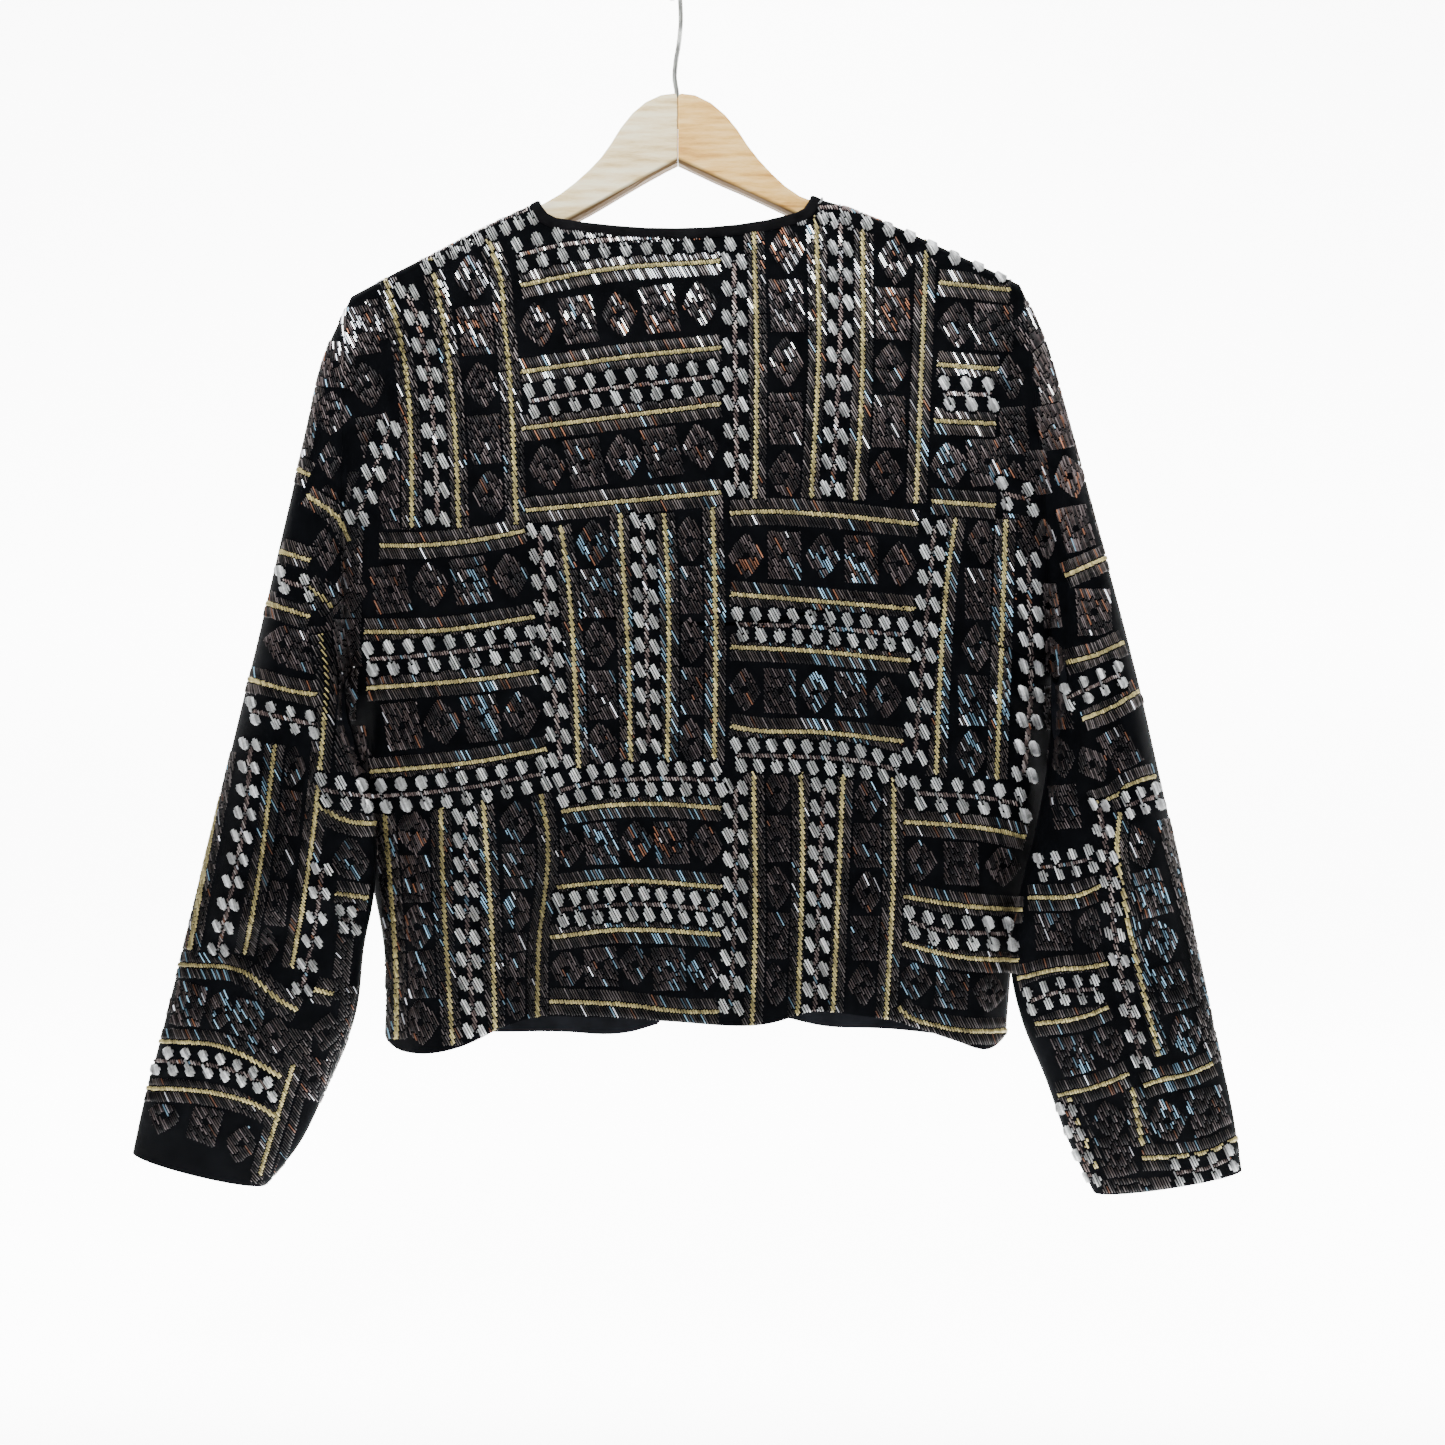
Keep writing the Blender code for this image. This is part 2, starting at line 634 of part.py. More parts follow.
def make_hook(steel, group):
    """A round wire: a shank with a slight bend, then most of a circle round the rail."""
    radius = LOOP_RADIUS + WIRE_RADIUS
    centre = -LOOP_RADIUS
    turns = [a * pi / 180 for a in range(-30, 196, 15)]
    loop = [Wire(HOOK_TIP.lean, radius * cos(a), centre + radius * sin(a)) for a in turns]
    route = through(HOOK_SHANK + loop + [HOOK_TIP], np.linspace(0, 1, 52))
    curve = bpy.data.curves.new("hook", "CURVE")
    curve.dimensions = "3D"
    curve.bevel_depth = WIRE_RADIUS * MM
    curve.bevel_resolution = 2
    curve.use_fill_caps = True
    line = curve.splines.new("POLY")
    line.points.add(len(route) - 1)
    turn = (90 - HOOK_TURN) * pi / 180
    for point, (lean, aside, z) in zip(line.points, route):
        point.co = ((lean + aside * sin(turn)) * MM, aside * cos(turn) * MM, z * MM, 1)
    named_object("hook", curve, steel, group)


def main():
    for made in list(bpy.data.objects):
        bpy.data.objects.remove(made)
    group = bpy.data.collections.new("jacket_on_hanger")
    cutters = bpy.data.collections.new("cutters")
    bpy.context.scene.collection.children.link(group)
    bpy.context.scene.collection.children.link(cutters)
    beaded = material("beaded_cloth", (0.05, 0.045, 0.05), 0.4)
    black = material("black_cloth", (0.008, 0.009, 0.012), 0.6)
    wood = material("maple", (0.72, 0.56, 0.36), 0.45)
    steel = material("chromed_steel", (0.75, 0.75, 0.76), 0.15, 1.0)
    make_body(beaded, group)
    make_linings(black, group)
    make_sleeves(beaded, group)
    make_binding(black, group)
    make_hanger(wood, group, cutters)
    make_hook(steel, group)


main()
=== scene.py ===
"""The looks of a short beaded jacket that hangs, open, on a flat wooden hanger.

The jacket's back faces -Y and +X is the wearer's right. The form's sizes are millimetres, and each mesh is
scaled to metres as it is made. The beadwork follows a chart: bands with a gold line, stems with paired
ovals, and rows of lozenges and squares, all laid as slanting rows of small beads.
"""

import logging
from collections import namedtuple
from dataclasses import dataclass, field
from enum import Enum, IntEnum
from math import atan2, cos, hypot, pi, radians, sin
from typing import Callable

import bpy
import numpy as np
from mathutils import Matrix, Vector


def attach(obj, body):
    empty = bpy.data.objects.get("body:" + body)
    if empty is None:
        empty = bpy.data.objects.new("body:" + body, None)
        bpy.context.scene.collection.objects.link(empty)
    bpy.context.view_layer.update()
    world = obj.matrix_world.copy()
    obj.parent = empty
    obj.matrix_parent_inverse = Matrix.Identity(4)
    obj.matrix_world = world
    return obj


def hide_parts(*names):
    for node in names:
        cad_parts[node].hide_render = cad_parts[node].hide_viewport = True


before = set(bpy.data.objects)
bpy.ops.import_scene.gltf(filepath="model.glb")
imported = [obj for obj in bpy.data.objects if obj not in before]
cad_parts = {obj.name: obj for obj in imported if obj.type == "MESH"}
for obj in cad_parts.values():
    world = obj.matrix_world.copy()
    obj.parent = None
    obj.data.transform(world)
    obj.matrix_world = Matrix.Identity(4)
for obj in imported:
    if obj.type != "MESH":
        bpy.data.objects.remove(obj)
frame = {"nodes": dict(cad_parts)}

LOG = logging.getLogger("jacket")
MM = 0.001
TINY = 1e-6
Points = tuple[np.ndarray, np.ndarray, np.ndarray]
Surface = Callable[[np.ndarray, np.ndarray, np.ndarray], Points]
Line = list[tuple[float, float]]
Colour = tuple[float, float, float]


# Cloth
WALL = 2.0  # the backing with its beads, and the lining inside it
SEAM = 0.3  # between two pieces that are sewn together
LINING_WALL = 1.0
SHARP = 0.9  # radians between two faces, past which their edge stays a crease
LINING_GAP = 0.3  # between the lining and the panel that backs it

# Body
BACK_DEPTH = 33.0  # from the hanger's plane to the back's outside, below the chest
FRONT_DEPTH = 34.0
RIDGE_ACROSS = 10.5  # the rounding of the shoulder over the hanger, front to back
RIDGE_DOWN = 8.0  # the same, downwards
CHEST_DROP = 170.0  # the depth is reached this far below the shoulder
SIDE_ROUND = 120.0  # the width over which a side turns from back to front
RIDGE_SLOPE = 0.47  # of the shoulder seam's line, carried on over the neck to a flat top
RIDGE_TOP = -134.0
SIDE_EASE = 80.0  # the width over which the side's fold comes back to the hanger's plane
CALM_SIDE = 30.0  # folds fade out this near a side edge, and near the ridge
CALM_RIDGE = 40.0
UNDERARM_SHARE = 0.5  # the share of the side edge that is side seam, from the hem up
BACK_NECK_SHARES = (7 / 24, 17 / 24)  # where the neck starts and ends along the back's top edge
FRONT_NECK_SHARE = 0.5
NECK_TURN = 0.035  # the share of the top edge over which the neck turns down off the hanger

# Binding
BINDING_WIDTH = 6.0
BINDING_OVER = 1.6  # how much higher the tape is than that, where it wraps over the edge
BINDING_GAP = -1.2  # the tape wraps over the panels' raw neck edge
BINDING_WALL = 2.6
BINDING_PROUD = 0.6  # how much further it stands outside the wall than inside

CLOTH_INSET = 0.7  # the backing's face, under the beads, inside the panel's outer form

# An edge's mid is how far the fold lies off the hanger's plane, away from the back
Edge = namedtuple("Edge", "x z mid")
Ring = namedtuple("Ring", "outer_x outer_z inner_x inner_z half outer_mid inner_mid")
Fold = namedtuple("Fold", "x1 z1 x2 z2 width height")

# Side edges from the hem up to the underarm. Below the underarm the sleeve hangs on the back's side of them.
SIDE_LEFT = [
    Edge(-203, -731, 0),
    Edge(-202, -703, 0),
    Edge(-205, -668, 3),
    Edge(-213, -636, 9),
    Edge(-225, -590, 15),
    Edge(-234, -548, 18),
    Edge(-235, -515, 17),
    Edge(-236, -494, 12),
    Edge(-224, -478, 0),
]
SIDE_RIGHT = [
    Edge(227, -730, 0),
    Edge(229, -705, 0),
    Edge(232, -682, 3),
    Edge(244, -640, 10),
    Edge(257, -600, 15),
    Edge(266, -556, 18),
    Edge(268, -520, 18),
    Edge(264, -498, 14),
    Edge(263, -482, 10),
    Edge(255, -468, 0),
]
SHOULDER_LEFT = [(-223.5, -222), (-192, -205), (-157, -187.5), (-123, -170), (-101, -160)]
SHOULDER_RIGHT = [(98, -156), (119, -162), (153, -176), (188, -192), (216, -205), (234, -214)]
BACK_NECK = [
    SHOULDER_LEFT[-1],
    (-97.5, -166),
    (-90, -171),
    (-72, -175.5),
    (-43, -180),
    (-3, -182),
    (30, -180.5),
    (56, -177),
    (76, -171.5),
    (89, -167),
    (95, -162),
    SHOULDER_RIGHT[0],
]
BACK_HEM = [
    SIDE_LEFT[0][:2],
    (-190, -737),
    (-174, -737),
    (-148, -733),
    (-117, -720),
    (-88, -711),
    (-56, -710),
    (-3, -714),
    (58, -716),
    (90, -709),
    (113, -708),
    (140, -712),
    (163, -720),
    (188, -729),
    (213, -736),
    SIDE_RIGHT[0][:2],
]

# Centre front edges from the round corner at the hem up to the neck, and the front hems from the side to it
FRONT_EDGE_LEFT = [(-16, -733), (-6, -719), (-5, -690), (-8, -560), (-8, -400), (-5, -250)]
FRONT_EDGE_RIGHT = [(75, -728), (65, -714), (61, -690), (42, -560), (22, -400), (5, -250)]
FRONT_HEM_LEFT = [SIDE_LEFT[0][:2], (-182, -737), (-140, -738), (-80, -738), (-34, -738), FRONT_EDGE_LEFT[0]]
FRONT_HEM_RIGHT = [SIDE_RIGHT[0][:2], (210, -736), (172, -738), (130, -735), (94, -732), FRONT_EDGE_RIGHT[0]]

# Sleeves from the armhole to the cuff
SLEEVE_LEFT = [
    Ring(-223.5, -222, -224, -478, 24, 0, 0),
    Ring(-240, -258, -228, -489, 26, 0, -6),
    Ring(-253, -315, -227, -503, 27, -2, -16),
    Ring(-267, -380, -221, -524, 28, -5, -25),
    Ring(-281, -447, -208, -552, 29, -9, -31),
    Ring(-296, -512, -199, -588, 28, -12, -31),
    Ring(-310, -573, -201, -630, 27, -14, -28),
    Ring(-325, -637, -209, -668, 25, -16, -24),
    Ring(-339, -692, -216, -716, 22, -16, -21),
    Ring(-350, -735, -236, -764, 19, -16, -18),
    Ring(-360, -772, -255, -802, 16, -16, -16),
    Ring(-368, -806, -277, -829, 13, -15, -15),
]
SLEEVE_RIGHT = [
    Ring(234, -214, 254, -474, 24, 0, 0),
    Ring(249, -247, 258, -488, 26, 0, -6),
    Ring(263, -296, 257, -503, 27, -2, -16),
    Ring(278, -354, 253, -524, 28, -5, -25),
    Ring(293, -414, 248, -550, 29, -9, -31),
    Ring(309, -478, 240, -586, 28, -12, -31),
    Ring(323, -541, 229, -630, 27, -14, -28),
    Ring(337, -604, 223, -676, 25, -16, -24),
    Ring(351, -668, 231, -716, 22, -16, -21),
    Ring(364, -728, 248, -757, 19, -16, -18),
    Ring(375, -777, 264, -800, 16, -16, -16),
    Ring(382, -818, 281, -834, 13, -15, -15),
]

# The largest folds, as ridges (height above 0) and valleys along a line on the cloth
BACK_FOLDS = [
    Fold(-118, -590, -108, -725, 26, -7),
    Fold(-160, -600, -168, -740, 30, 6),
    Fold(-60, -620, -58, -715, 34, 4),
    Fold(118, -600, 124, -715, 30, 6),
    Fold(92, -590, 92, -715, 24, -5),
    Fold(190, -560, 208, -740, 26, 5),
    Fold(-205, -250, -196, -430, 20, -5),
    Fold(-190, -470, -213, -560, 18, 5),
    Fold(214, -250, 228, -420, 20, -5),
    Fold(205, -460, 243, -570, 20, 6),
]
FRONT_FOLDS = [
    Fold(-150, -560, -156, -740, 30, 6),
    Fold(-70, -540, -62, -740, 32, -5),
    Fold(-200, -260, -196, -430, 20, -5),
    Fold(150, -560, 160, -740, 30, 6),
    Fold(105, -540, 112, -740, 28, -5),
    Fold(216, -250, 226, -420, 20, -5),
]
SLEEVE_FOLDS = [
    Fold(-240, -300, -246, -560, 22, -6),
    Fold(-305, -655, -225, -625, 18, 5),
    Fold(-325, -690, -255, -655, 16, -4),
    Fold(-232, -520, -222, -640, 16, 5),
    Fold(268, -320, 280, -560, 22, -6),
    Fold(262, -560, 300, -640, 18, 5),
    Fold(245, -640, 320, -680, 16, -4),
    Fold(300, -470, 322, -610, 22, 4),
]


def through(rows, share):
    """Points at these shares of the way along a smooth line through the rows."""
    rows = np.array(rows, float)
    share = np.asarray(share, float)
    at = np.concatenate([[0], np.cumsum(np.linalg.norm(np.diff(rows, axis=0), axis=1))])
    at /= at[-1]
    slope = np.gradient(rows, at, axis=0)
    i = np.clip(np.searchsorted(at, share, side="right") - 1, 0, len(at) - 2)
    gap = (at[i + 1] - at[i])[..., None]
    s = (share - at[i])[..., None] / gap
    return (
        (1 + 2 * s) * (1 - s) ** 2 * rows[i]
        + s * (1 - s) ** 2 * gap * slope[i]
        + s**2 * (3 - 2 * s) * rows[i + 1]
        + s**2 * (s - 1) * gap * slope[i + 1]
    )


def ease(share):
    """0 to 1 with flat ends."""
    s = np.clip(share, 0, 1)
    return s * s * (3 - 2 * s)


def quarter(share):
    """0 to 1 as a quarter circle, steep at the start."""
    return np.sqrt(1 - (1 - np.clip(share, 0, 1)) ** 2)


def raised(folds, x, z):
    """How far the folds lift the cloth at x, z."""
    total = np.zeros(np.broadcast(x, z).shape)
    for fold in folds:
        run = np.array([fold.x2 - fold.x1, fold.z2 - fold.z1], float)
        length = hypot(*run)
        along = ((x - fold.x1) * run[0] + (z - fold.z1) * run[1]) / length**2
        aside = ((x - fold.x1) * run[1] - (z - fold.z1) * run[0]) / length
        ends = ease(along * 3) * ease((1.25 - along) * 3)
        total += fold.height * np.exp(-((aside / fold.width) ** 2) * 2) * ends
    return total


# The garment's form. Each surface is a function of its shares across and up, and of inset, how far inside
# the outer face a point lies.


def ring_at(rows, share):
    """The sleeve's ring at this share of its length."""
    return Ring(*np.moveaxis(through(rows, share), -1, 0))


def round_ring(ring, angle, inset):
    """A point of a ring: angle 0 at its outer end, pi at its inner end, and positive for the front half."""
    dx, dz = ring.inner_x - ring.outer_x, ring.inner_z - ring.outer_z
    length = np.hypot(dx, dz)
    share = inset / length + (1 - 2 * inset / length) * (1 - np.cos(angle)) / 2
    half = np.maximum((ring.half - inset) * np.abs(np.sin(angle)) ** 0.85, SEAM / 2)
    mid = ring.outer_mid + (ring.inner_mid - ring.outer_mid) * share
    return ring.outer_x + dx * share, mid + half * np.sign(angle), ring.outer_z + dz * share


def side_edge(side, rows, share, inset, inward):
    """A body panel's side edge, side seam then armhole: x, z and depths. inward is +1 or -1 along X."""
    share = np.asarray(share, float)
    seam = through(side, share / UNDERARM_SHARE)
    angle = pi * np.clip((1 - share) / (1 - UNDERARM_SHARE), 0, 1)
    hole_x, depth, hole_z = round_ring(Ring(*rows[0]), angle, inset)
    at_hole = share > UNDERARM_SHARE
    x = np.where(at_hole, hole_x + inward * SEAM / 2, seam[..., 0] + inward * inset)
    z = np.where(at_hole, hole_z, seam[..., 1])
    return x, z, np.where(at_hole, depth, SEAM / 2), np.where(at_hole, 0, seam[..., 2])


def coons(across, up, bottom, top, left, right):
    """The flat patch between four edges, each an (x, z) pair of arrays."""
    corners = [bottom(np.array(s)) for s in (0.0, 1.0)] + [top(np.array(s)) for s in (0.0, 1.0)]
    blend = []
    for k in range(2):
        edges = (1 - up) * bottom(across)[k] + up * top(across)[k]
        edges = edges + (1 - across) * left(up)[k] + across * right(up)[k]
        flat = (1 - up) * ((1 - across) * corners[0][k] + across * corners[1][k])
        flat = flat + up * ((1 - across) * corners[2][k] + across * corners[3][k])
        blend.append(edges - flat)
    return blend


def ridge_height(x):
    """The height of the line that the cloth hangs from: the shoulder seams, and a flat top between them."""
    left = np.interp(x, *zip(*SHOULDER_LEFT))
    right = np.interp(x, *zip(*SHOULDER_RIGHT))
    left = left + RIDGE_SLOPE * np.maximum(x - SHOULDER_LEFT[-1][0], 0)
    right = right + RIDGE_SLOPE * np.maximum(SHOULDER_RIGHT[0][0] - x, 0)
    return np.minimum(np.minimum(left, right), RIDGE_TOP)


def ridge(drop, depth):
    """The body's depth at a drop below the ridge: rounded over the hanger, fuller down to the chest."""
    over = RIDGE_ACROSS * quarter(drop / RIDGE_DOWN)
    return over + (depth - RIDGE_ACROSS) * ease(drop / CHEST_DROP)


def shoulder(line, share, inset):
    """x and z of a shoulder seam."""
    point = through(line, share)
    return point[..., 0], point[..., 1] - inset


def back_top(share, inset):
    """x and z of the back's top edge, from the left shoulder's tip to the right one's."""
    first, last = BACK_NECK_SHARES
    left = shoulder(SHOULDER_LEFT, np.clip(share / first, 0, 1), inset)
    right = shoulder(SHOULDER_RIGHT, np.clip((share - last) / (1 - last), 0, 1), inset)
    neck = through(BACK_NECK, np.clip((share - first) / (last - first), 0, 1))
    under = BINDING_WIDTH + SEAM
    pick = [share < first, share > last]
    x = np.select(pick, [left[0], right[0]], neck[..., 0])
    reach = np.minimum(share - first, last - share) / NECK_TURN
    lowered = neck[..., 1] - under * ease(reach) - inset * (1 - ease(reach))
    return x, np.select(pick, [left[1], right[1]], lowered)


def back_panel(across, up, inset):
    """The back: across from the left edge to the right one, up from the hem."""
    across, up = np.asarray(across, float), np.asarray(up, float)

    def left(share):
        return side_edge(SIDE_LEFT, SLEEVE_LEFT, share, inset, 1)

    def right(share):
        return side_edge(SIDE_RIGHT, SLEEVE_RIGHT, share, inset, -1)

    def bottom(share):
        point = through(BACK_HEM, share)
        return point[..., 0] + inset * (1 - 2 * share), point[..., 1]

    def top(share):
        return back_top(share, inset)

    x, z = coons(across, up, bottom, top, left, right)
    drop = np.maximum(ridge_height(x) - inset - z, 0)
    full = ridge(drop, BACK_DEPTH)
    edges = [left(up), right(up)]
    width = np.stack([(x - edges[0][0]), (edges[1][0] - x)])
    near = np.argmin(width, axis=0)
    apart = np.maximum(np.min(width, axis=0), 0)
    held = np.where(near == 0, edges[0][2], edges[1][2])
    mid = np.where(near == 0, edges[0][3], edges[1][3]) * (1 - ease(apart / SIDE_EASE))
    turn = quarter(apart / SIDE_ROUND)
    depth = held * (1 - turn) + np.maximum(full - inset, SEAM / 2) * turn
    calm = ease(apart / CALM_SIDE) * ease(drop / CALM_RIDGE)
    return x, mid - depth - raised(BACK_FOLDS, x, z) * calm, z


def front_panel(across, up, inset, left_side):
    """A front: across from the side edge to the centre front edge, up from the hem."""
    across, up = np.asarray(across, float), np.asarray(up, float)
    side, rows = (SIDE_LEFT, SLEEVE_LEFT) if left_side else (SIDE_RIGHT, SLEEVE_RIGHT)
    line = SHOULDER_LEFT if left_side else SHOULDER_RIGHT[::-1]
    hem, edge = (FRONT_HEM_LEFT, FRONT_EDGE_LEFT) if left_side else (FRONT_HEM_RIGHT, FRONT_EDGE_RIGHT)
    inward = 1 if left_side else -1
    neck_x, neck_z = line[-1]
    low_x, low_z = edge[-1]

    def outer(share):
        return side_edge(side, rows, share, inset, inward)

    def centre(share):
        return np.moveaxis(through(edge, share), -1, 0)

    def bottom(share):
        point = through(hem, share)
        return point[..., 0] + inward * inset * (1 - share), point[..., 1]

    def top(share):
        seam_x, seam_z = shoulder(line, np.clip(share / FRONT_NECK_SHARE, 0, 1), inset)
        turn = pi / 2 * np.clip((share - FRONT_NECK_SHARE) / (1 - FRONT_NECK_SHARE), 0, 1)
        reach = ease((share - FRONT_NECK_SHARE) / (2 * NECK_TURN))
        x = low_x + (neck_x - low_x) * np.cos(turn)
        z = neck_z + (low_z - neck_z) * np.sin(turn) - inset * (1 - reach)
        pick = share <= FRONT_NECK_SHARE
        return np.where(pick, seam_x, x), np.where(pick, seam_z, z)

    x, z = coons(across, up, bottom, top, outer, centre)
    drop = np.maximum(ridge_height(x) - inset - z, 0)
    full = ridge(drop, FRONT_DEPTH)
    edge_x, _, held, mid = outer(up)
    apart = np.maximum(inward * (x - edge_x), 0)
    mid = mid * (1 - ease(apart / SIDE_EASE))
    turn = quarter(apart / SIDE_ROUND)
    depth = held * (1 - turn) + np.maximum(full - inset, SEAM / 2) * turn
    calm = ease(apart / CALM_SIDE) * ease(drop / CALM_RIDGE)
    return x, mid + depth + raised(FRONT_FOLDS, x, z) * calm, z


def sleeve(across, up, inset, rows):
    """A sleeve: across once round from its seam at the inner edge, up from the armhole down to the cuff."""
    across, up = np.asarray(across, float), np.asarray(up, float)
    away = -1 if rows[0].outer_x < 0 else 1
    angle = pi * (2 * across - 1)
    angle = np.where(np.abs(angle) < TINY, TINY, angle)
    x, y, z = round_ring(ring_at(rows, up), angle, inset)
    front = np.where(angle > 0, 1, -1)
    calm = np.abs(np.sin(angle)) * ease(up / 0.06)
    return x + away * SEAM / 2 * (1 - ease(up / 0.02)), y + front * raised(SLEEVE_FOLDS, x, z) * calm, z


def outward(surface, across, up):
    """The unit normal of a panel's outer face, by a small step each way."""
    step = 0.002
    low = [max(across - step, 0), max(up - step, 0)]
    high = [min(across + step, 1), min(up + step, 1)]
    along = Vector(np.array(surface(high[0], up, 0)) - np.array(surface(low[0], up, 0)))
    upward = Vector(np.array(surface(across, high[1], 0)) - np.array(surface(across, low[1], 0)))
    return along.cross(upward).normalized()



def even(count, *more):
    """Shares from 0 to 1 in even steps, and any more that are named."""
    return sorted({*(i / count for i in range(count + 1)), *more})


# Closer rows where the shoulder rounds over the hanger, and closer columns where the neck turns down off it
BODY_ROWS = sorted({*even(22), 0.993, 0.9835, 0.966, 0.9465, 0.93} - {21 / 22})
NECK_STEPS = (0.006, 0.014, 0.026)
NECK_COLUMNS = [BACK_NECK_SHARES[0] + s for s in NECK_STEPS] + [BACK_NECK_SHARES[1] - s for s in NECK_STEPS]
BACK_COLUMNS = even(24, *NECK_COLUMNS)
FRONT_COLUMNS = even(12, *(FRONT_NECK_SHARE + 2 * s for s in NECK_STEPS))
LINING_COLUMNS = even(12)[1:]
LINING_ROWS = BODY_ROWS[:4]



def neck_edge():
    """Stations round the neck from the left centre front, over the back, to the right one.

    Each is a point in the middle of the panel's wall at its neck edge, a point a little below it,
    and the way out of the wall.
    """
    stations = []

    def add(surface, across, out):
        normal = outward(surface, across, 0.995)
        normal *= 1 if normal.y * out > 0 else -1
        stations.append([surface(across, 1.0, WALL / 2), surface(across, 0.985, WALL / 2), normal])

    def add_at_seam(neck, next_out):
        """A station on the ridge, at a shoulder seam's neck end."""
        along = Vector((next_out[0] - neck[0], 0, next_out[1] - neck[1])).normalized()
        normal = Vector((-along.z, 0, along.x)) * (1 if along.x > 0 else -1)
        middle = Vector((neck[0], 0, neck[1])) - normal * (WALL / 2)
        stations.append([middle, middle + along, normal])

    neck_columns = [share for share in FRONT_COLUMNS if share > FRONT_NECK_SHARE]
    for share in reversed(neck_columns):
        add(lambda a, u, w: front_panel(a, u, w, True), share, 1)
    add_at_seam(SHOULDER_LEFT[-1], SHOULDER_LEFT[-2])
    for share in BACK_COLUMNS:
        if BACK_NECK_SHARES[0] < share < BACK_NECK_SHARES[1]:
            add(back_panel, share, -1)
    add_at_seam(SHOULDER_RIGHT[0], SHOULDER_RIGHT[1])
    for share in neck_columns:
        add(lambda a, u, w: front_panel(a, u, w, False), share, 1)
    return np.array(stations)


def eased(directions):
    """Unit directions, each turned half way to the mean of its neighbours."""
    padded = np.concatenate([directions[:1], directions, directions[-1:]])
    mixed = padded[:-2] + 2 * directions + padded[2:]
    return mixed / np.linalg.norm(mixed, axis=1)[:, None]


# The chart of the beadwork, in millimetres on a plane CHART_AWAY in front of the camera. Lines run smoothly
# through their points, and what stands in a row is evenly spaced along its line.


class Zone(IntEnum):
    """What a spot of the cloth is covered with."""

    GROUND = 0
    BAND = 1
    GOLD = 2
    MOTIF = 3
    STEM = 4
    OVAL = 5


class Run(Enum):
    """The way a stem runs."""

    UP = "up"
    ACROSS = "across"


class Kind(Enum):
    """The shape of a motif."""

    LOZENGE = "lozenge"
    SQUARE = "square"


Stem = namedtuple("Stem", "run pairs line")
Motifs = namedtuple("Motifs", "wide tall first count line")
Glow = namedtuple("Glow", "x z wide tall share hue")
Shade = namedtuple("Shade", "wide depth line")

BACK_BANDS = [
    [(-191, -225), (-180, -271), (-174, -344), (-174, -388)],
    [(-164, -205), (-157, -233), (-151, -268), (-147, -304), (-143, -388)],
    [(-124, -198), (-116, -222), (-113, -252), (-110, -284), (-105, -386)],
    [(-102, -229), (-50, -219), (29, -213)],
    [(-102, -286), (-24, -275), (29, -270)],
    [(-101, -323), (29, -307)],
    [(-99, -377), (30, -365)],
    [(51, -187), (53, -271), (52, -369)],
    [(92, -183), (94, -258), (89, -369)],
    [(123, -182), (122, -304), (118, -370)],
    [(165, -196), (158, -372)],
    [(173, -227), (220, -232)],
    [(172, -281), (212, -284)],
    [(170, -318), (210, -320)],
    [(168, -371), (210, -374)],
    [(-195, -400), (-168, -400), (-122, -395), (-98, -390)],
    [(-205, -457), (-155, -456), (-93, -447)],
    [(-203, -494), (-129, -488), (-91, -483)],
    [(-201, -549), (-129, -542), (-85, -534)],
    [(-76, -387), (-72, -416), (-64, -546)],
    [(-37, -379), (-31, -488), (-30, -544)],
    [(-8, -379), (-6, -409), (-5, -488), (-6, -544)],
    [(24, -375), (26, -462), (25, -544)],
    [(36, -379), (49, -378), (101, -380), (159, -386)],
    [(36, -432), (157, -442)],
    [(36, -467), (82, -469), (154, -476)],
    [(36, -519), (46, -521), (95, -523), (149, -529)],
    [(184, -382), (180, -409), (173, -502), (171, -554)],
    [(217, -383), (211, -554)],
    [(-192, -573), (-184, -692), (-184, -725)],
    [(-155, -573), (-153, -633), (-147, -729)],
    [(-127, -567), (-121, -660), (-119, -722)],
    [(-89, -564), (-85, -587), (-91, -673), (-91, -712)],
    [(-75, -575), (-43, -571), (-17, -570), (30, -573)],
    [(-78, -625), (-37, -621), (30, -625)],
    [(-82, -658), (-37, -653), (29, -656)],
    [(-83, -700), (-37, -702), (9, -707), (28, -707)],
    [(51, -548), (52, -653), (50, -716)],
    [(82, -549), (83, -581), (80, -712)],
    [(110, -550), (103, -712)],
    [(143, -553), (143, -613), (138, -712)],
    [(150, -582), (167, -583), (213, -588), (230, -592)],
    [(150, -631), (187, -637), (228, -640)],
    [(149, -662), (187, -671), (225, -673)],
    [(146, -704), (154, -711), (167, -715), (187, -719), (203, -720), (217, -719)],
]
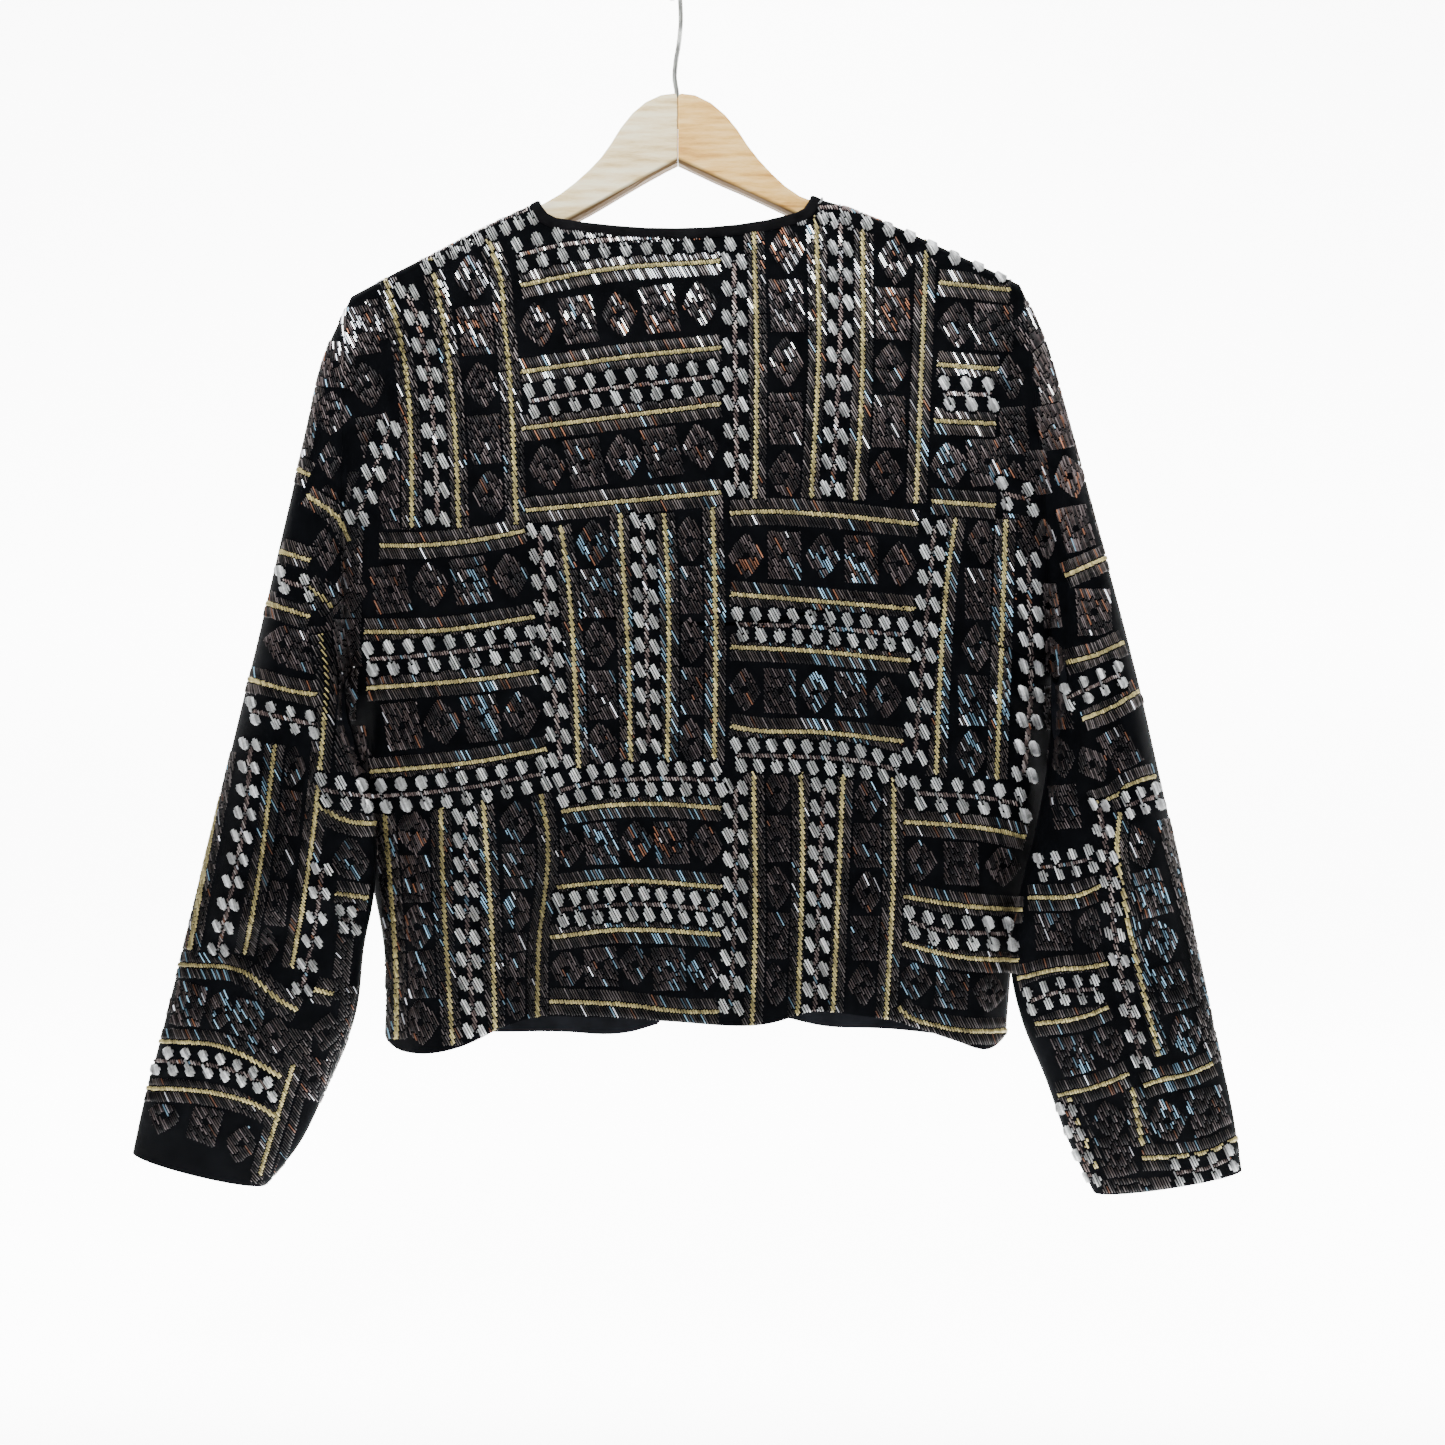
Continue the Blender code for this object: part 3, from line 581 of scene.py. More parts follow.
BACK_STEMS = [
    Stem(Run.UP, 9, [(-177, -233), (-173, -244), (-164, -278), (-159, -332), (-157, -382)]),
    Stem(Run.UP, 9, [(38, -213), (40, -363)]),
    Stem(Run.UP, 11, [(108, -187), (108, -257), (103, -363)]),
    Stem(Run.UP, 10, [(-90, -391), (-76, -542)]),
    Stem(Run.UP, 10, [(-22, -384), (-20, -436), (-18, -532)]),
    Stem(Run.UP, 10, [(170, -388), (157, -539)]),
    Stem(Run.UP, 9, [(232, -409), (233, -502), (229, -551)]),
    Stem(Run.UP, 10, [(-139, -579), (-135, -692), (-132, -720)]),
    Stem(Run.UP, 10, [(39, -559), (39, -623), (36, -704)]),
    Stem(Run.UP, 11, [(97, -558), (91, -708)]),
    Stem(Run.UP, 5, [(-189, -323), (-203, -363), (-210, -382)]),
    Stem(Run.ACROSS, 11, [(-103, -209), (-74, -202), (-56, -200), (34, -195)]),
    Stem(Run.ACROSS, 9, [(-166, -211), (-129, -191), (-96, -178)]),
    Stem(Run.ACROSS, 5, [(80, -178), (109, -178), (138, -186)]),
    Stem(Run.ACROSS, 5, [(152, -190), (182, -205), (197, -209), (212, -216)]),
    Stem(Run.ACROSS, 10, [(-95, -305), (-53, -298), (26, -289)]),
    Stem(Run.ACROSS, 3, [(178, -300), (207, -301)]),
    Stem(Run.ACROSS, 9, [(-201, -475), (-174, -473), (-94, -464)]),
    Stem(Run.ACROSS, 12, [(-232, -561), (-204, -565), (-179, -564), (-128, -558), (-87, -550)]),
    Stem(Run.ACROSS, 10, [(-76, -561), (-54, -556), (-30, -554), (28, -554)]),
    Stem(Run.ACROSS, 10, [(42, -452), (76, -453), (151, -459)]),
    Stem(Run.ACROSS, 10, [(41, -538), (99, -540), (121, -542), (146, -548)]),
    Stem(Run.ACROSS, 6, [(159, -563), (215, -568), (228, -571)]),
    Stem(Run.ACROSS, 10, [(-76, -640), (-28, -636), (26, -640)]),
    Stem(Run.ACROSS, 6, [(155, -648), (168, -652), (220, -656)]),
    Stem(Run.ACROSS, 2, [(216, -366), (233, -370)]),
]
BACK_MOTIFS = [
    Motifs(26, 33, Kind.LOZENGE, 5, [(-134, -223), (-122, -366)]),
    Motifs(25, 33, Kind.SQUARE, 3, [(-209, -259), (-197, -330)]),
    Motifs(24, 32, Kind.LOZENGE, 2, [(-187, -355), (-184, -378)]),
    Motifs(25, 32, Kind.LOZENGE, 5, [(-91, -255), (16, -241)]),
    Motifs(26, 33, Kind.LOZENGE, 5, [(-85, -349), (16, -335)]),
    Motifs(25, 35, Kind.LOZENGE, 5, [(73, -205), (72, -354)]),
    Motifs(25, 35, Kind.LOZENGE, 5, [(144, -212), (138, -354)]),
    Motifs(28, 32, Kind.LOZENGE, 3, [(185, -255), (233, -258)]),
    Motifs(28, 32, Kind.LOZENGE, 2, [(180, -347), (205, -345)]),
    Motifs(26, 32, Kind.SQUARE, 4, [(-188, -429), (-109, -420)]),
    Motifs(26, 32, Kind.SQUARE, 4, [(-180, -519), (-102, -511)]),
    Motifs(25, 33, Kind.LOZENGE, 5, [(-54, -398), (-49, -532)]),
    Motifs(24, 32, Kind.LOZENGE, 5, [(9, -396), (10, -529)]),
    Motifs(24, 32, Kind.LOZENGE, 5, [(46, -407), (95, -407), (147, -412)]),
    Motifs(23, 30, Kind.LOZENGE, 5, [(45, -495), (115, -498), (138, -500)]),
    Motifs(22, 34, Kind.LOZENGE, 5, [(202, -397), (194, -537)]),
    Motifs(26, 32, Kind.LOZENGE, 5, [(-173, -588), (-173, -620), (-170, -653), (-168, -714)]),
    Motifs(24, 30, Kind.LOZENGE, 5, [(-105, -582), (-103, -612), (-107, -669), (-105, -699)]),
    Motifs(24, 29, Kind.LOZENGE, 5, [(-72, -599), (-50, -596), (-26, -595), (20, -597)]),
    Motifs(24, 29, Kind.LOZENGE, 5, [(-72, -679), (-49, -676), (-24, -676), (-3, -679), (18, -680)]),
    Motifs(22, 31, Kind.LOZENGE, 5, [(67, -561), (65, -689)]),
    Motifs(21, 30, Kind.LOZENGE, 5, [(126, -567), (126, -629), (123, -689)]),
    Motifs(25, 29, Kind.LOZENGE, 3, [(160, -608), (215, -611)]),
    Motifs(24, 29, Kind.LOZENGE, 3, [(157, -687), (206, -694)]),
    Motifs(24, 32, Kind.LOZENGE, 4, [(-214, -429), (-220, -502), (-214, -534)]),
    Motifs(20, 32, Kind.LOZENGE, 5, [(220, -290), (223, -340), (228, -428)]),
    Motifs(28, 31, Kind.SQUARE, 2, [(-224, -281), (-227, -313)]),
    Motifs(22, 30, Kind.LOZENGE, 1, [(-229, -374)]),
    Motifs(24, 30, Kind.LOZENGE, 3, [(-230, -436), (-230, -500)]),
]
LEFT_SLEEVE_BANDS = [
    [(-249, -350), (-241, -354)],
    [(-243, -367), (-221, -384), (-215, -397)],
    [(-260, -404), (-241, -410)],
    [(-243, -427), (-236, -432), (-226, -441)],
    [(-269, -438), (-241, -447)],
    [(-281, -488), (-247, -497), (-237, -498)],
    [(-234, -458), (-230, -488), (-232, -518), (-245, -633), (-253, -678)],
    [(-264, -531), (-277, -633), (-284, -669)],
    [(-296, -535), (-308, -600), (-320, -666)],
    [(-346, -674), (-323, -676), (-286, -680), (-260, -700), (-249, -706)],
    [(-350, -726), (-324, -727), (-302, -729), (-286, -735), (-260, -750)],
    [(-354, -757), (-324, -758), (-300, -761), (-266, -774), (-261, -778)],
    [(-252, -742), (-274, -814)],
    [(-237, -569), (-227, -577), (-214, -582), (-198, -583)],
    [(-224, -629), (-203, -632)],
    [(-239, -692), (-226, -695)],
]
LEFT_SLEEVE_STEMS = [
    Stem(Run.ACROSS, 2, [(-259, -423), (-243, -428)]),
    Stem(Run.ACROSS, 4, [(-278, -509), (-239, -518)]),
    Stem(Run.UP, 10, [(-280, -531), (-282, -564), (-286, -593), (-301, -666)]),
    Stem(Run.UP, 6, [(-233, -613), (-236, -641), (-246, -692)]),
    Stem(Run.ACROSS, 2, [(-220, -646), (-212, -647)]),
    Stem(
        Run.ACROSS, 8,
        [(-344, -739), (-322, -740), (-312, -741), (-290, -746), (-278, -751), (-267, -758)],
    ),
]
LEFT_SLEEVE_MOTIFS = [
    Motifs(17, 26, Kind.LOZENGE, 1, [(-228, -344)]),
    Motifs(20, 30, Kind.LOZENGE, 1, [(-231, -403)]),
    Motifs(26, 29, Kind.LOZENGE, 2, [(-259, -465), (-243, -469)]),
    Motifs(18, 30, Kind.LOZENGE, 5, [(-252, -546), (-259, -607), (-270, -665)]),
    Motifs(26, 36, Kind.LOZENGE, 1, [(-214, -608)]),
    Motifs(24, 33, Kind.LOZENGE, 1, [(-212, -538)]),
    Motifs(22, 30, Kind.LOZENGE, 5, [(-341, -701), (-302, -706), (-264, -723)]),
    Motifs(22, 28, Kind.LOZENGE, 3, [(-337, -775), (-311, -779), (-286, -794)]),
    Motifs(20, 28, Kind.LOZENGE, 2, [(-230, -720), (-239, -751)]),
]
RIGHT_SLEEVE_BANDS = [
    [(256, -420), (283, -408)],
    [(257, -477), (274, -473), (294, -464)],
    [(268, -514), (288, -506), (304, -496)],
    [(272, -570), (288, -566), (297, -558), (315, -552)],
    [(292, -576), (290, -599), (295, -633), (309, -700), (318, -736)],
    [(232, -632), (269, -629), (279, -624)],
    [(225, -685), (251, -679), (269, -678), (286, -675)],
    [(236, -715), (269, -710), (284, -704)],
    [(251, -762), (280, -755), (297, -748)],
    [(307, -756), (318, -752), (337, -748), (353, -741)],
    [(259, -764), (276, -810)],
    [(300, -757), (307, -795)],
    [(307, -803), (332, -802), (353, -798), (369, -790)],
]
RIGHT_SLEEVE_STEMS = [
    Stem(Run.ACROSS, 4, [(258, -500), (292, -485)]),
    Stem(Run.ACROSS, 3, [(297, -571), (317, -565)]),
    Stem(Run.UP, 11, [(278, -571), (283, -600), (290, -666), (306, -740)]),
    Stem(Run.ACROSS, 4, [(240, -612), (262, -609), (273, -606)]),
    Stem(Run.ACROSS, 5, [(233, -700), (251, -694), (277, -692)]),
    Stem(Run.UP, 4, [(257, -771), (273, -817)]),
    Stem(Run.ACROSS, 4, [(330, -813), (355, -808), (365, -803)]),
]
RIGHT_SLEEVE_MOTIFS = [
    Motifs(22, 31, Kind.LOZENGE, 4, [(244, -288), (248, -322), (259, -354), (263, -389)]),
    Motifs(16, 30, Kind.SQUARE, 3, [(238, -352), (242, -385), (245, -440)]),
    Motifs(20, 30, Kind.LOZENGE, 4, [(248, -474), (256, -572)]),
    Motifs(25, 32, Kind.SQUARE, 1, [(275, -444)]),
    Motifs(22, 29, Kind.LOZENGE, 2, [(274, -544), (292, -534)]),
    Motifs(24, 32, Kind.LOZENGE, 5, [(304, -598), (335, -722)]),
    Motifs(26, 30, Kind.SQUARE, 2, [(248, -652), (274, -652)]),
    Motifs(25, 32, Kind.SQUARE, 2, [(261, -734), (284, -727)]),
    Motifs(24, 28, Kind.LOZENGE, 2, [(285, -778), (290, -802)]),
    Motifs(28, 33, Kind.LOZENGE, 2, [(323, -779), (350, -773)]),
]
PLAIN_STRIPS = [
    (5, [(321, -580), (329, -612), (343, -671), (351, -725), (357, -740)]),
    (5, [(281, -822), (325, -820)]),
    (5, [(-214, -690), (-221, -725), (-235, -765)]),
    (6, [(-352, -680), (-362, -760), (-366, -800)]),
    (6, [(-229, -266), (-240, -310), (-248, -349)]),
    (2, [(251, -262), (263, -330), (284, -408)]),
    (6, [(-217, -653), (-222, -699)]),
    (9, [(-247, -719), (-257, -778), (-272, -821)]),
    (6, [(233, -409), (233, -462)]),
    (8, [(236, -238), (254, -337)]),
    (5, [(-200, -238), (-195, -265)]),
    (7, [(-209, -352), (-213, -400), (-214, -449), (-218, -515)]),
]
NECK_STRIPS = [
    (2.4, [(-74, -192), (-49, -197), (-2, -198), (24, -196)]),
    (2.2, [(-150, -208), (-128, -197), (-108, -189)]),
]
SHADES = [
    Shade(9, 0.6, [(-182, -265), (-213, -337), (-218, -410), (-218, -515)]),
    Shade(11, 0.6, [(213, -258), (238, -357), (246, -462), (250, -567)]),
    Shade(9, 0.55, [(-80, -567), (-88, -625), (-95, -719)]),
    Shade(15, 0.4, [(-255, -540), (-275, -670)]),
    Shade(4, 0.5, [(-155, -590), (-150, -715)]),
    Shade(5, 0.5, [(-190, -590), (-188, -715)]),
    Shade(6, 0.45, [(-296, -535), (-308, -600), (-320, -666)]),
    Shade(10, 0.5, [(-228, -560), (-214, -660), (-225, -720)]),
    Shade(8, 0.45, [(-330, -675), (-290, -685), (-255, -712)]),
    Shade(10, 0.4, [(228, -600), (214, -700), (190, -725)]),
    Shade(14, 0.35, [(-60, -715), (60, -700), (180, -705)]),
    Shade(12, 0.4, [(-366, -800), (-300, -815), (-240, -790)]),
]
# Painted glints: patches where a share of the beads take a bright white, blue or copper colour and glow, for
# light that the glass reflects.
GLOWS = [
    Glow(-25, -197, 50, 4, 0.95, "white"),
    Glow(-128, -198, 24, 8, 0.8, "white"),
    Glow(-10, -213, 59, 14, 0.75, "white"),
    Glow(-162, -225, 46, 30, 0.45, "white"),
    Glow(101, -222, 39, 39, 0.40, "white"),
    Glow(187, -294, 20, 26, 0.40, "white"),
    Glow(-56, -238, 39, 20, 0.30, "white"),
    Glow(9, -238, 26, 20, 0.70, "white"),
    Glow(-218, -261, 16, 16, 0.50, "white"),
    Glow(-129, -202, 33, 16, 0.60, "white"),
    Glow(-89, -291, 20, 16, 0.35, "white"),
    Glow(148, -205, 46, 20, 0.35, "white"),
    Glow(-31, -469, 3, 72, 0.70, "blue"),
    Glow(-6, -436, 4, 59, 0.65, "blue"),
    Glow(24, -462, 5, 86, 0.60, "blue"),
    Glow(-63, -462, 5, 59, 0.40, "blue"),
    Glow(-125, -495, 11, 33, 0.50, "blue"),
    Glow(96, -462, 9, 72, 0.55, "blue"),
    Glow(121, -469, 9, 72, 0.50, "blue"),
    Glow(-129, -426, 11, 13, 0.40, "blue"),
    Glow(195, -525, 9, 33, 0.70, "blue"),
    Glow(177, -462, 7, 79, 0.55, "blue"),
    Glow(215, -449, 7, 66, 0.50, "blue"),
    Glow(-50, -409, 13, 20, 0.40, "blue"),
    Glow(-24, -627, 39, 39, 0.35, "blue"),
    Glow(16, -673, 20, 39, 0.45, "blue"),
    Glow(-130, -633, 13, 46, 0.45, "blue"),
    Glow(-108, -607, 9, 39, 0.35, "blue"),
    Glow(-268, -564, 9, 26, 0.50, "blue"),
    Glow(-214, -613, 5, 13, 0.60, "blue"),
    Glow(-50, -587, 20, 16, 0.50, "blue"),
    Glow(62, -409, 26, 8, 0.30, "blue"),
    Glow(250, -640, 11, 9, 0.50, "blue"),
    Glow(315, -660, 13, 59, 0.45, "blue"),
    Glow(330, -739, 16, 39, 0.50, "blue"),
    Glow(266, -739, 13, 13, 0.30, "blue"),
    Glow(-307, -689, 13, 26, 0.40, "blue"),
    Glow(-284, -709, 13, 20, 0.35, "blue"),
    Glow(-155, -653, 9, 33, 0.30, "blue"),
    Glow(167, -686, 13, 20, 0.35, "blue"),
    Glow(-24, -350, 20, 13, 0.35, "blue"),
    Glow(174, -344, 13, 20, 0.35, "blue"),
    Glow(-7, -528, 8, 39, 0.40, "blue"),
    Glow(-135, -252, 14, 16, 0.30, "copper"),
    Glow(-24, -252, 39, 13, 0.20, "copper"),
    Glow(69, -212, 11, 26, 0.30, "copper"),
    Glow(141, -238, 11, 20, 0.25, "copper"),
    Glow(-50, -330, 33, 13, 0.20, "copper"),
    Glow(121, -403, 8, 9, 0.50, "copper"),
    Glow(46, -413, 8, 9, 0.40, "copper"),
    Glow(-56, -409, 8, 13, 0.25, "copper"),
    Glow(-10, -597, 20, 9, 0.25, "copper"),
    Glow(-162, -600, 13, 13, 0.20, "copper"),
    Glow(253, -363, 11, 39, 0.30, "copper"),
    Glow(273, -436, 11, 20, 0.30, "copper"),
]

CAMERA_X, CAMERA_AWAY, CAMERA_Z = 30.7, 755.0, -516.4  # the camera's place, away from the hanger's plane
CHART_AWAY = 720.0  # from the camera to the chart's plane


@dataclass
class Chart:
    """The beadwork's pattern, painted as zones on a fine grid.

    Attributes:
        cell: The grid's step, in millimetres, as are all sizes here.
        low, high: The corners of the charted plane, as x and z.
        across_half, up_half: Half the width of a level and of an upright band.
        band_rim: The bare line between a band and what stands beside it.
        gold_half: Half the width of the gold line down a band's middle.
        stem_half: Half the width of a stem's core.
        up_offset, up_oval, up_clear: How far an upright stem's ovals stand from its core, their half width
            and half height, and half the width of the bare strip that they stand in.
        up_drop: How far the right oval of such a pair lies below the core, as a share of the offset.
        across_offset, across_oval, across_clear: The same for a level stem.
        across_slip: How far an oval of such a pair lies aside of the core, as a share of the offset.
        oval_lean, oval_rim: An oval's lean in radians, and the bare rim round it.
        link_half, link_shift: Half the width of a pair's link, and how far left of the pair it lies.
        hole: The radius of a motif's hole.
        skew: A motif's lean, as a share of its height.
        lozenge_power, lozenge_edge: A lozenge's roundness, and how far it fills its box.
        square_edge: How far a square fills its box.
        sleeve_scale: The size of the sleeves' ovals, as a share of the back's.
        zones, domes: The painted grid, and how high the ovals' beads stand there, from 0 to 1.
    """

    cell: float = 0.4
    low: tuple[float, float] = (-395.0, -862.0)
    high: tuple[float, float] = (395.0, -150.0)
    across_half: float = 9.2
    up_half: float = 7.0
    band_rim: float = 1.0
    gold_half: float = 1.6
    stem_half: float = 1.8
    up_offset: float = 4.9
    up_oval: tuple[float, float] = (3.2, 6.1)
    up_clear: float = 8.6
    up_drop: float = 0.12
    across_offset: float = 7.0
    across_oval: tuple[float, float] = (3.9, 5.4)
    across_clear: float = 11.2
    across_slip: float = 0.25
    oval_lean: float = 0.42
    oval_rim: float = 0.7
    link_half: float = 0.85
    link_shift: float = 1.5
    hole: float = 2.1
    skew: float = 0.07
    lozenge_power: float = 1.2
    lozenge_edge: float = 0.96
    square_edge: float = 0.92
    sleeve_scale: float = 0.84
    zones: np.ndarray = field(init=False)
    domes: np.ndarray = field(init=False)

    def __post_init__(self) -> None:
        size = [int((b - a) / self.cell) + 1 for a, b in zip(self.low, self.high)]
        self.zones = np.zeros(size, np.int8)
        self.domes = np.zeros(size, np.float32)

    def window(self, x: float, z: float, reach: float) -> tuple[tuple[slice, slice], np.ndarray, np.ndarray]:
        """The grid's cells near a point.

        Args:
            x, z: The point.
            reach: How far the window reaches each way from it.

        Returns:
            The window's slices, and how far each cell lies from the point along X and along Z.
        """
        first = [int((c - reach - a) / self.cell) for c, a in zip((x, z), self.low)]
        count = int(2 * reach / self.cell) + 2
        cut = tuple(slice(max(f, 0), max(f + count, 0)) for f in first)
        shape = self.zones[cut].shape
        dx = self.low[0] + (cut[0].start + np.arange(shape[0])) * self.cell - x
        dz = self.low[1] + (cut[1].start + np.arange(shape[1])) * self.cell - z
        return cut, *np.meshgrid(dx, dz, indexing="ij")

    def smooth(self, line: Line, step: float = 8.0) -> np.ndarray:
        """Points about a step apart along a smooth line through these points."""
        length = sum(hypot(b[0] - a[0], b[1] - a[1]) for a, b in zip(line, line[1:]))
        return through(line, np.linspace(0, 1, max(2, int(length / step) + 1)))

    def paint_line(self, line: Line, half: float, zone: Zone) -> None:
        """Paints a zone along a smooth line.

        Args:
            line: The points that the line runs through.
            half: Half the painted width.
            zone: What the line is covered with.
        """
        points = self.smooth(line)
        for a, b in zip(points, points[1:]):
            run = b - a
            length = float(np.hypot(*run)) or 1.0
            run = run / length
            middle = (a + b) / 2
            cut, dx, dz = self.window(*middle, length / 2 + half + 1)
            along = dx * run[0] + dz * run[1]
            aside = dx * run[1] - dz * run[0]
            self.zones[cut][(np.abs(along) <= length / 2 + 0.5) & (np.abs(aside) <= half)] = zone

    def paint_oval(self, x: float, z: float, size: tuple[float, float], rim: float) -> None:
        """Paints a leaning oval of close beads, or the bare rim that it stands in.

        Args:
            x, z: Its middle.
            size: Its half width and half height.
            rim: The width of the bare rim to clear, or 0 to lay the oval itself.
        """
        cut, dx, dz = self.window(x, z, size[1] + 2)
        lean = self.oval_lean
        aside = (dx * cos(lean) + dz * sin(lean)) / (size[0] + rim)
        along = (-dx * sin(lean) + dz * cos(lean)) / (size[1] + rim)
        height = 1 - aside**2 - along**2
        self.zones[cut][height > 0] = Zone.GROUND if rim else Zone.OVAL
        if not rim:
            self.domes[cut] = np.maximum(self.domes[cut], height)

    def paint_stem(self, stem: Stem, scale: float) -> None:
        """Paints a stem: its core, and the pairs of ovals with the link that joins each pair.

        Args:
            stem: The stem.
            scale: The size of its ovals, as a share of the back's.
        """
        up = stem.run is Run.UP
        offset, size = (self.up_offset, self.up_oval) if up else (self.across_offset, self.across_oval)
        offset, size = offset * scale, (size[0] * scale, size[1] * scale)
        centres = through(stem.line, np.linspace(0, 1, stem.pairs))
        ways = np.gradient(centres, axis=0)
        ways /= np.hypot(*ways.T)[:, None]
        pairs = []
        for (x, z), (wx, wz) in zip(centres, ways):
            side = np.array((abs(wz), -self.up_drop) if up else (self.across_slip, -abs(wx)))
            pairs.append([(x + s * side[0] * offset, z + s * side[1] * offset) for s in (-1, 1)])
        for spot in [spot for pair in pairs for spot in pair]:
            self.paint_oval(*spot, size, self.oval_rim)
        self.paint_line(stem.line, self.stem_half, Zone.STEM)
        for pair in pairs:
            for spot in pair:
                self.paint_oval(*spot, size, 0.0)
            link = pair if up else [(x - self.link_shift, z) for x, z in pair]
            self.paint_line(link, self.link_half, Zone.OVAL)

    def paint_motifs(self, row: Motifs) -> None:
        """Paints a row of lozenges and squares, one of each by turns, with a hole in the middle of each."""
        half = np.array((row.wide / 2, row.tall / 2))
        if row.count > 1:
            centres = through(row.line, np.linspace(0, 1, row.count))
            way = np.array(row.line[-1], float) - np.array(row.line[0], float)
        else:
            centres, way = [row.line[0]], np.array((1.0, 0.0))
        level = abs(way[0]) > abs(way[1])
        tilt = atan2(way[1], way[0]) if level else atan2(-way[0] * np.sign(way[1]), abs(way[1]))
        for k, (x, z) in enumerate(centres):
            cut, dx, dz = self.window(x, z, max(half) * 1.3)
            right = (dx * cos(tilt) + dz * sin(tilt) + dz * self.skew) / half[0]
            rise = (-dx * sin(tilt) + dz * cos(tilt)) / half[1]
            if (row.first is Kind.LOZENGE) == (k % 2 == 0):
                power = self.lozenge_power
                inside = np.abs(right) ** power + np.abs(rise) ** power < self.lozenge_edge
            else:
                inside = np.maximum(np.abs(right), np.abs(rise) * self.square_edge) < self.square_edge
            self.zones[cut][inside & (dx**2 + dz**2 > self.hole**2)] = Zone.MOTIF

    def paint(self) -> None:
        """Paints the whole pattern: the plain strips, then motifs, bands and stems."""
        for half, line in PLAIN_STRIPS:
            self.paint_line(line, half, Zone.BAND)
        for row in BACK_MOTIFS + LEFT_SLEEVE_MOTIFS + RIGHT_SLEEVE_MOTIFS:
            self.paint_motifs(row)
        bands = BACK_BANDS + LEFT_SLEEVE_BANDS + RIGHT_SLEEVE_BANDS
        stems = BACK_STEMS + LEFT_SLEEVE_STEMS + RIGHT_SLEEVE_STEMS
        for rim, zone in ((self.band_rim, Zone.GROUND), (0.0, Zone.BAND)):
            for line in bands:
                (ax, az), (bx, bz) = line[0], line[-1]
                half = self.up_half if abs(bz - az) > abs(bx - ax) else self.across_half
                self.paint_line(line, half + rim, zone)
        for stem in stems:
            clear = self.up_clear if stem.run is Run.UP else self.across_clear
            self.paint_line(stem.line, clear, Zone.GROUND)
        for line in bands:
            self.paint_line(line, self.gold_half, Zone.GOLD)
        for half, line in NECK_STRIPS:
            self.paint_line(line, half, Zone.BAND)
        for stem in stems:
            self.paint_stem(stem, 1.0 if stem in BACK_STEMS else self.sleeve_scale)

    def look_up(self, x: np.ndarray, z: np.ndarray) -> tuple[np.ndarray, np.ndarray]:
        """The zones and the domes' heights at points of the chart."""
        i = np.clip(((x - self.low[0]) / self.cell).astype(int), 0, self.zones.shape[0] - 1)
        j = np.clip(((z - self.low[1]) / self.cell).astype(int), 0, self.zones.shape[1] - 1)
        return self.zones[i, j], self.domes[i, j]


def mesh_object(name: str, points: np.ndarray, corners: np.ndarray, sizes: np.ndarray) -> bpy.types.Object:
    """A mesh object from arrays.

    Args:
        name: The object's name.
        points: Its points, in millimetres.
        corners: The points' numbers round every face, one face after another.
        sizes: How many corners each face has.

    Returns:
        The new object, linked to the scene.
    """
    mesh = bpy.data.meshes.new(name)
    mesh.vertices.add(len(points))
    mesh.vertices.foreach_set("co", (points * MM).astype(np.float32).ravel())
    mesh.loops.add(len(corners))
    mesh.loops.foreach_set("vertex_index", corners.astype(np.int32))
    mesh.polygons.add(len(sizes))
    mesh.polygons.foreach_set("loop_start", np.concatenate([[0], np.cumsum(sizes)[:-1]]).astype(np.int32))
    mesh.polygons.foreach_set("use_smooth", np.ones(len(sizes), bool))
    mesh.update(calc_edges=True)
    made = bpy.data.objects.new(name, mesh)
    bpy.context.scene.collection.objects.link(made)
    return made


def sampled(table: np.ndarray, across: np.ndarray, up: np.ndarray) -> np.ndarray:
    """A table's values at shares across and up, between its columns and rows."""
    u = np.clip(up, 0, 1) * (table.shape[0] - 1)
    a = np.clip(across, 0, 1) * (table.shape[1] - 1)
    i = np.minimum(u.astype(int), table.shape[0] - 2)
    j = np.minimum(a.astype(int), table.shape[1] - 2)
    u, a = u - i, a - j
    if table.ndim == 3:
        u, a = u[:, None], a[:, None]
    low = table[i, j] * (1 - a) + table[i, j + 1] * a
    return low * (1 - u) + (table[i + 1, j] * (1 - a) + table[i + 1, j + 1] * a) * u


